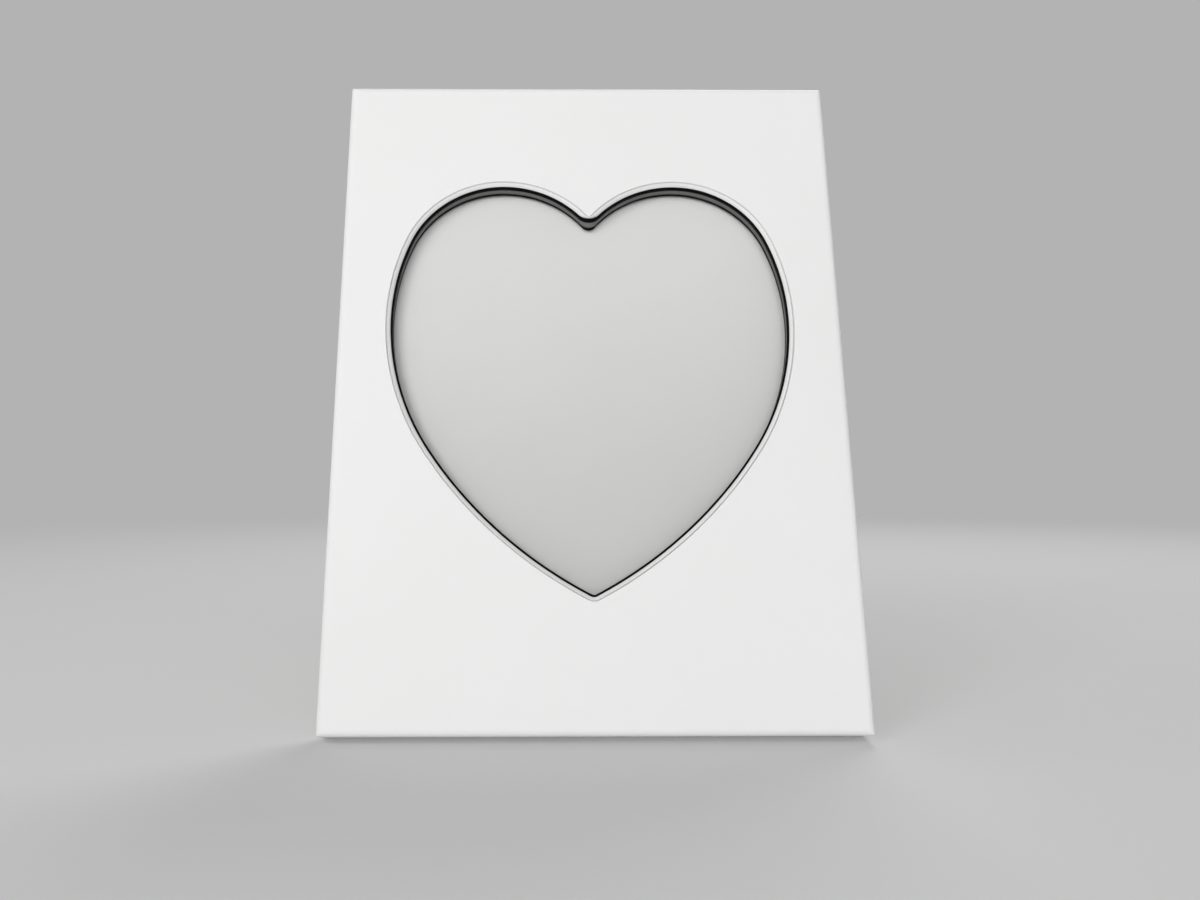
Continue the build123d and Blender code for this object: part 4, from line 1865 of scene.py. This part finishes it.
@dataclass(frozen=True)
class EaselStand:
    """Easel leg with its hinge, its stay ribbon and the ribbon's staples."""

    bench: Bench
    leaf_width: float = 30.0
    leaf_length: float = 20.0
    fixed_thickness: float = 1.2
    moving_thickness: float = 0.9
    leaf_round: float = 2.5
    pin_radius: float = 1.3
    pin_head_radius: float = 1.8
    pin_head_thickness: float = 0.6
    pin_sides: int = 32
    fixed_play: float = 0.03
    moving_play: float = 0.06
    knuckle_gap: float = 0.2
    rivet_spacing: float = 18.0
    rivet_inset: float = 6.0
    leg_thickness: float = 2.4
    leg_top_width: float = 36.0
    leg_foot_width: float = 60.0
    leg_top_gap: float = 0.5
    leg_top_round: float = 4.0
    leg_foot_round: float = 0.7
    leg_edge: float = 0.3
    ribbon_height: float = 42.0
    ribbon_width: float = 10.0
    ribbon_thickness: float = 0.4
    ribbon_tab: float = 12.0
    ribbon_bend: float = 1.2
    ribbon_bend_step: float = 0.15
    ribbon_columns: int = 12
    ribbon_rows_per_rib: int = 6
    ribbon_rib: float = 0.03
    ribbon_edge: float = 0.55
    ribbon_room: float = 0.25
    staple_wire: float = 0.6
    staple_bend: float = 0.45
    staple_overhang: float = 0.8
    staple_depth: float = 1.6
    staple_inset: float = 6.0
    soft_crease: float = 60.0

    @property
    def fixed_barrel(self) -> float:
        """Outer radius of the fixed knuckles."""
        return self.pin_radius + self.fixed_play + self.fixed_thickness

    @property
    def moving_barrel(self) -> float:
        """Outer radius of the moving knuckle."""
        return self.pin_radius + self.moving_play + self.moving_thickness

    @property
    def leg_back(self) -> float:
        """Depth of the folded leg's outer face."""
        return self.bench.pin_depth + self.moving_barrel - self.moving_thickness

    @property
    def leg_front(self) -> float:
        """Depth of the folded leg's inner face."""
        return self.leg_back - self.leg_thickness

    def build_hinge(self, steel: Material) -> None:
        """Model and dress the two leaves and the pin.

        Args:
            steel: Finish of the hinge.
        """
        half, knuckle, gap = self.leaf_width / 2, self.leaf_width / 6, self.knuckle_gap / 2
        notch = 2 * self.fixed_barrel
        outer = (-half, -knuckle - gap, knuckle + gap, half)
        inner = (-half, -knuckle + gap, knuckle - gap, half)
        fixed = RolledStrip(self.fixed_thickness, self.fixed_barrel, self.leaf_length, outer,
                            (True, False, True), notch, self.leaf_round)
        moving = RolledStrip(self.moving_thickness, self.moving_barrel, self.leaf_length, inner,
                             (False, True, False), notch, self.leaf_round)
        axis = Matrix.Translation(self.bench.pin)
        on_board = self.bench.upright @ axis
        on_leg = self.bench.open_leg @ axis @ Matrix.Rotation(math.pi, 4, "X")
        leaf = fixed.piece("hinge_board_leaf")
        install(leaf, on_board, steel, Body.FRAME, Slot.STEEL, "hinge_fixed_leaf")
        leaf = moving.piece("hinge_leg_leaf")
        install(leaf, on_leg, steel, Body.LEG, Slot.STEEL, "hinge_moving_leaf")
        install(new_piece(self.pin_mesh()), on_board, steel, Body.FRAME, Slot.STEEL, "hinge_pin")

    def pin_mesh(self) -> Mesh:
        """Hinge pin along X with a peened head at each end.

        Returns:
            The closed mesh.
        """
        half, head, wide = self.leaf_width / 2, self.pin_head_thickness, self.pin_head_radius
        profile = [(half + head, 0.5 * wide), (half + 0.8 * head, 0.85 * wide), (half + 0.4 * head, wide),
                   (half + 0.1 * head, wide), (half, 0.94 * wide), (half, self.pin_radius)]
        profile += [(-x, radius) for x, radius in reversed(profile)]
        angles = [math.tau * step / self.pin_sides for step in range(self.pin_sides)]
        draft = Draft()
        loops = []
        for x, radius in profile:
            circle = [Vector((x, radius * math.cos(angle), radius * math.sin(angle))) for angle in angles]
            loops.append(draft.loop(circle))
        draft.tube(loops)
        return draft.mesh("hinge_rod")

    def leg_plate(self, depth: float) -> Plate:
        """Outline of the leg at one depth, its foot cut flat to the table.

        Args:
            depth: Depth of the folded leg's slice.

        Returns:
            The plate's outline.
        """
        top = self.bench.pin_height - self.fixed_barrel - self.leg_top_gap
        low = -self.leg_back
        side = Vector((self.leg_foot_width / 2, low)) - Vector((self.leg_top_width / 2, top))
        normal = Vector((-side.y, side.x)).normalized()
        rise = self.bench.open_leg[2]
        foot = -(rise[3] - rise[2] * depth) / rise[1]

        def corner(y: float, radius: float) -> Disc:
            """Disc that touches the side line and whose middle is at a height."""
            edge_x = self.leg_top_width / 2 + (y - top) / side.y * side.x
            return Disc(edge_x - radius / normal.x, y, radius)

        upper = corner(top - self.leg_top_round, self.leg_top_round)
        lower = corner(foot + self.leg_foot_round, self.leg_foot_round)
        left_upper, left_lower = (Disc(-disc.x, disc.y, disc.radius) for disc in (upper, lower))
        return Plate((left_upper, upper, lower, left_lower))

    def build_leg(self, hardboard: Material) -> None:
        """Model and dress the tapered leg.

        Args:
            hardboard: Finish of the leg.
        """
        leg = new_piece(plate_mesh("easel_leg", self.leg_plate, self.leg_front, self.leg_back, self.leg_edge))
        install(leg, self.bench.open_leg, hardboard, Body.LEG, Slot.HARDBOARD, "stand_leg",
                crease=self.soft_crease)

    def rivet_seats(self) -> tuple[list[Vector], list[Vector]]:
        """Where the hinge's rivet heads sit.

        Returns:
            Seats on the fixed leaf, and on the folded moving leaf.
        """
        half = self.rivet_spacing / 2
        reach = self.leaf_length - self.rivet_inset
        fixed = self.bench.layers.board_back + self.fixed_thickness
        moving = self.leg_back + self.moving_thickness
        height = self.bench.pin_height
        return ([Vector((side.value * half, height + reach, -fixed)) for side in Side],
                [Vector((side.value * half, height - reach, -moving)) for side in Side])

    def ribbon_line(self) -> list[Vector]:
        """Middle line of the ribbon from its tab on the board to its tab on the open leg.

        Returns:
            Points of the line in bench millimetres.
        """
        board = -self.bench.layers.board_back - self.ribbon_thickness / 2
        inside = -self.leg_front + self.ribbon_thickness / 2
        to_bench = self.bench.upright.inverted() @ self.bench.open_leg
        height, tab = self.ribbon_height, self.ribbon_tab
        corners = [Vector((0, height - tab, board)), Vector((0, height, board)),
                   to_bench @ Vector((0, height, inside)), to_bench @ Vector((0, height + tab, inside))]
        return rounded_line(corners, self.ribbon_bend, self.ribbon_bend_step)

    def strip(self, name: str, rows: Sequence[Row], pitch: float) -> Mesh:
        """Closed length of ribbed ribbon.

        Args:
            name: Name of the mesh.
            rows: Rows along its middle line.
            pitch: Pitch of the ribs.

        Returns:
            The mesh, with its own coordinates in millimetres along and across the ribbon.
        """
        draft = Draft()
        half = self.ribbon_width / 2
        columns = self.ribbon_columns
        faces: list[list[list[int]]] = [[], []]
        for row in rows:
            ripple = self.ribbon_rib * (math.cos(math.tau * row.reach / pitch) - 1)
            for face, sign in zip(faces, (-1, 1)):
                points = []
                for column in range(columns + 1):
                    x = -half + self.ribbon_width * column / columns
                    edge = self.ribbon_edge if column in (0, columns) else 1.0
                    thick = sign * (self.ribbon_thickness / 2 + ripple) * edge
                    points.append(row.place + row.normal * thick + Vector((x, 0, 0)))
                    draft.across.append((row.reach, x + half))
                face.append(draft.loop(points))
        for face in faces:
            for first, second in zip(face, face[1:]):
                draft.bridge(first, second, False)
        for end in (0, -1):
            draft.bridge(faces[0][end], faces[1][end], False)
        for column in (0, columns):
            sides = [[points[column] for points in face] for face in faces]
            draft.bridge(sides[0], sides[1], False)
        return draft.mesh(name)

    def build_ribbon(self, weave: WovenRibbon) -> None:
        """Model the taut ribbon: an end fixed to the board, one fixed to the leg, and the span between them.

        Args:
            weave: Finish of the ribbon.
        """
        placing, leg_placing = self.bench.upright, self.bench.open_leg
        line = self.ribbon_line()
        rows = measured(line, weave.pitch / self.ribbon_rows_per_rib)
        leaves = (line[1] - line[0]).length
        lands = rows[-1].reach - (line[-1] - line[-2]).length
        first = max(index for index, row in enumerate(rows) if row.reach <= leaves)
        last = min(index for index, row in enumerate(rows) if row.reach >= lands)
        woven = weave.material(self.ribbon_width)
        parts = (("stay_end_on_board", rows[:first + 1], Body.FRAME, "back_board"),
                 ("stay_strip", rows[first:last + 1], Body.FRAME, "back_board"),
                 ("stay_end_on_leg", rows[last:], Body.LEG, "easel_leg"))
        for name, run, body, seat in parts:
            piece = new_piece(self.strip(name, run, weave.pitch))
            install(piece, placing, woven, body, Slot.RIBBON, "stay_ribbon", crease=self.soft_crease)
            if name == "stay_strip":
                held, reached = placing @ run[0].place, placing @ run[-1].place
                moved = reached - placing @ leg_placing.inverted() @ reached
                way = moved.normalized()
                keep = 1 - (moved.length + self.ribbon_room / METRE) / (reached - held).dot(way)
                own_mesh(piece)

    def build_staples(self, steel: Material, wire: Form) -> None:
        """Model and dress the two staples.

        Args:
            steel: Finish of the staples.
            wire: Tree that bends wire.
        """
        bench, inset = self.bench, self.staple_inset
        half = self.ribbon_width / 2 + self.staple_overhang + self.staple_wire / 2
        sizes = {"Wire Radius": self.staple_wire / 2, "Bend": self.staple_bend}
        for seat, sign, surface, placing, body in (
            ("board", 1, bench.layers.board_back, bench.upright, Body.FRAME),
            ("leg", -1, self.leg_front, bench.open_leg, Body.LEG),
        ):
            y = self.ribbon_height - sign * inset
            crown = -(surface + sign * (self.ribbon_thickness + self.staple_wire / 2))
            root = -(surface - sign * self.staple_depth)
            spots = ((-half, root), (-half, crown), (half, crown), (half, root))
            corners = [Vector((x, y, z)) for x, z in spots]
            piece = wire.make(f"staple_on_{seat}", corners, steel, Path.OPEN, **sizes)
            install(piece, placing, steel, body, Slot.STEEL, f"ribbon_staple_{seat}")

    def build(self, steel: Material, hardboard: Material, weave: WovenRibbon, wire: Form) -> None:
        """Model and dress the whole stand.

        Args:
            steel: Finish of the hinge and the staples.
            hardboard: Finish of the leg.
            weave: Finish of the ribbon.
            wire: Tree that bends wire.
        """
        self.build_hinge(steel)
        self.build_leg(hardboard)
        self.build_ribbon(weave)
        self.build_staples(steel, wire)


@dataclass(frozen=True)
class Rivets:
    """Domed rivets of the hinge and the hanger."""

    radius: float = 1.2
    head_radius: float = 2.4
    head_height: float = 0.9
    head_rim: float = 0.15
    tail_radius: float = 1.9
    tail_thickness: float = 0.6
    board_grip: float = 3.6
    leg_grip: float = 3.32
    sides: int = 32

    def form(self) -> Form:
        """Tree that sets a domed rivet with its shank and tail on each point.

        Returns:
            The tree.
        """
        form = Form("Rivets", {
            "Radius": self.radius, "Head Radius": self.head_radius, "Head Height": self.head_height,
            "Tail Radius": self.tail_radius, "Tail Thickness": self.tail_thickness, "Grip": self.board_grip,
        })
        given = form.given
        tail, grip = given["Tail Thickness"], given["Grip"]
        above_tail = form.sum((-1, grip), (1, tail))
        parts = [
            form.domed_head(given["Head Radius"], given["Head Height"], self.head_rim),
            form.bar(self.sides, 1, given["Radius"], form.sum((1, grip), (-1, tail)), above_tail),
            form.bar(self.sides, 1, given["Tail Radius"], tail, form.sum((-1, grip))),
        ]
        form.close(form.scatter(form.add("GeometryNodeJoinGeometry", {0: parts})))
        return form

    def build(self, stand: EaselStand, hanger: WallHanger, steel: Material) -> None:
        """Model and dress the rivets.

        Args:
            stand: Stand whose hinge is riveted.
            hanger: Hanger whose strap is riveted.
            steel: Finish of the rivets.
        """
        bench, form = stand.bench, self.form()
        on_board, on_leg = stand.rivet_seats()
        on_board.append(hanger.rivet_seat(bench.layers))
        piece = form.make("board_rivets", on_board, steel, Grip=self.board_grip)
        install(piece, bench.upright, steel, Body.FRAME, Slot.STEEL, "hinge_fixed_rivets", "hanger_rivet")
        piece = form.make("leg_rivets", on_leg, steel, Grip=self.leg_grip)
        install(piece, bench.open_leg, steel, Body.LEG, Slot.STEEL, "hinge_moving_rivets")


# Studio


@dataclass(frozen=True)
class Lamp:
    """Soft area lamp, which glass and metal show only if it is mirrored."""

    name: str
    place: tuple[float, float, float]
    aim: tuple[float, float, float]
    size: float
    power: float
    mirrored: bool = True

    def build(self) -> None:
        """Hang the lamp."""
        data = bpy.data.lights.new(self.name, "AREA")
        data.shape = "DISK"
        data.size = self.size
        data.energy = self.power
        lamp = bpy.data.objects.new(self.name, data)
        lamp.visible_glossy = self.mirrored
        lamp.visible_transmission = self.mirrored
        lamp.location = self.place
        lamp.rotation_euler = (Vector(self.aim) - Vector(self.place)).to_track_quat("-Z", "Y").to_euler()
        bpy.context.scene.collection.objects.link(lamp)


@dataclass(frozen=True)
class Studio:
    """Pale table, soft room light and the camera. Angles are in degrees."""

    backdrop: float = 0.45
    ambient: float = 0.28
    glow: float = 4.42
    glow_height: float = 4.0
    glow_side: float = -5.0
    glow_edge: float = 0.82
    table_size: float = 12.0
    table_sides: int = 96
    lens: float = 31.8
    sensor: float = 36.0
    nearest: float = 0.01
    camera_place: tuple[float, float, float] = (-0.01522, -0.32061, 0.07315)
    camera_turn: tuple[float, float, float] = (91.215, 0.017, -0.618)
    shift: float = 0.0411
    lamps: tuple[Lamp, ...] = (
        Lamp("side_lamp", (-0.42, -0.6, 0.45), (-0.03, 0, 0.14), 0.35, 1.6, mirrored=False),
        Lamp("back_lamp", (0.5, 1.2, 1.4), (0, 0, 0.1), 1.0, 13.0),
    )

    def build(self) -> None:
        """Set up the table, the light and the camera."""
        bpy.context.scene.view_settings.view_transform = "Standard"
        self.build_table()
        self.build_world()
        for lamp in self.lamps:
            lamp.build()
        self.build_camera()

    def build_table(self) -> None:
        """Lay a wide pale table under the frame."""
        mesh = bpy.data.meshes.new("table")
        work = bmesh.new()
        bmesh.ops.create_circle(work, cap_ends=True, segments=self.table_sides, radius=self.table_size / 2)
        work.to_mesh(mesh)
        work.free()
        mesh.materials.append(TableTop().material(self.backdrop))
        new_piece(mesh)

    def build_world(self) -> None:
        """Light the room softly from the front, and show a plain pale backdrop."""
        world = bpy.data.worlds.new("soft_room")
        bpy.context.scene.world = world
        world.use_nodes = True
        room = Nodes(world.node_tree)
        height, side = math.radians(self.glow_height), math.radians(self.glow_side)
        aim = (math.cos(height) * math.sin(side), -math.cos(height) * math.cos(side), math.sin(height))
        facing = room.along(room.add("ShaderNodeTexCoord", {}), aim)
        strength = room.span(facing, self.ambient, self.glow, self.glow_edge, 1.0, "SMOOTHSTEP")
        light = room.add("ShaderNodeBackground", {"Color": grey(1.0), "Strength": strength})
        plain = room.add("ShaderNodeBackground", {"Color": grey(self.backdrop), "Strength": 1.0})
        mixed = room.by_ray(light, plain, Ray.CAMERA, Ray.GLOSSY, Ray.TRANSMISSION)
        room.feed(world.node_tree.nodes["World Output"].inputs["Surface"], mixed)

    def build_camera(self) -> None:
        """Stand the camera in front of the frame, low, as the photographer did."""
        data = bpy.data.cameras.new("camera")
        data.lens = self.lens
        data.sensor_width = self.sensor
        data.shift_x = self.shift
        data.clip_start = self.nearest
        camera = bpy.data.objects.new("camera", data)
        camera.location = self.camera_place
        camera.rotation_euler = tuple(math.radians(angle) for angle in self.camera_turn)
        bpy.context.scene.collection.objects.link(camera)
        bpy.context.scene.camera = camera


def main() -> None:
    """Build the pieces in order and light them."""
    logging.basicConfig(level=logging.INFO, format="%(name)s: %(message)s")
    bench = Bench()
    heart = HeartWindow()
    board = FrontFrame()
    stand = EaselStand(bench)
    hanger = WallHanger()
    steel = PlatedSteel().material()
    wire = wire_form()

    board.build(heart, bench, Lacquer().material())
    HeartLiner().build(heart, bench, TrimWithPaintedShade().material(bench.upright))
    Glazing().build(bench, board.half.y, ClearSheet().material())
    dress_nodes({
        "photo_card": GreyCard().material(),
        "filler_card": KraftCard().material(),
        "back_board": Hardboard().material("hardboard", 0),
    })
    BackFittings().build(bench, steel, SoftPad().material())
    stand.build(steel, Hardboard().material("leg_hardboard", 90), WovenRibbon(), wire)
    hanger.build(bench, steel, wire)
    Rivets().build(stand, hanger, steel)

    Studio().build()


if __name__ == "__main__":
    main()
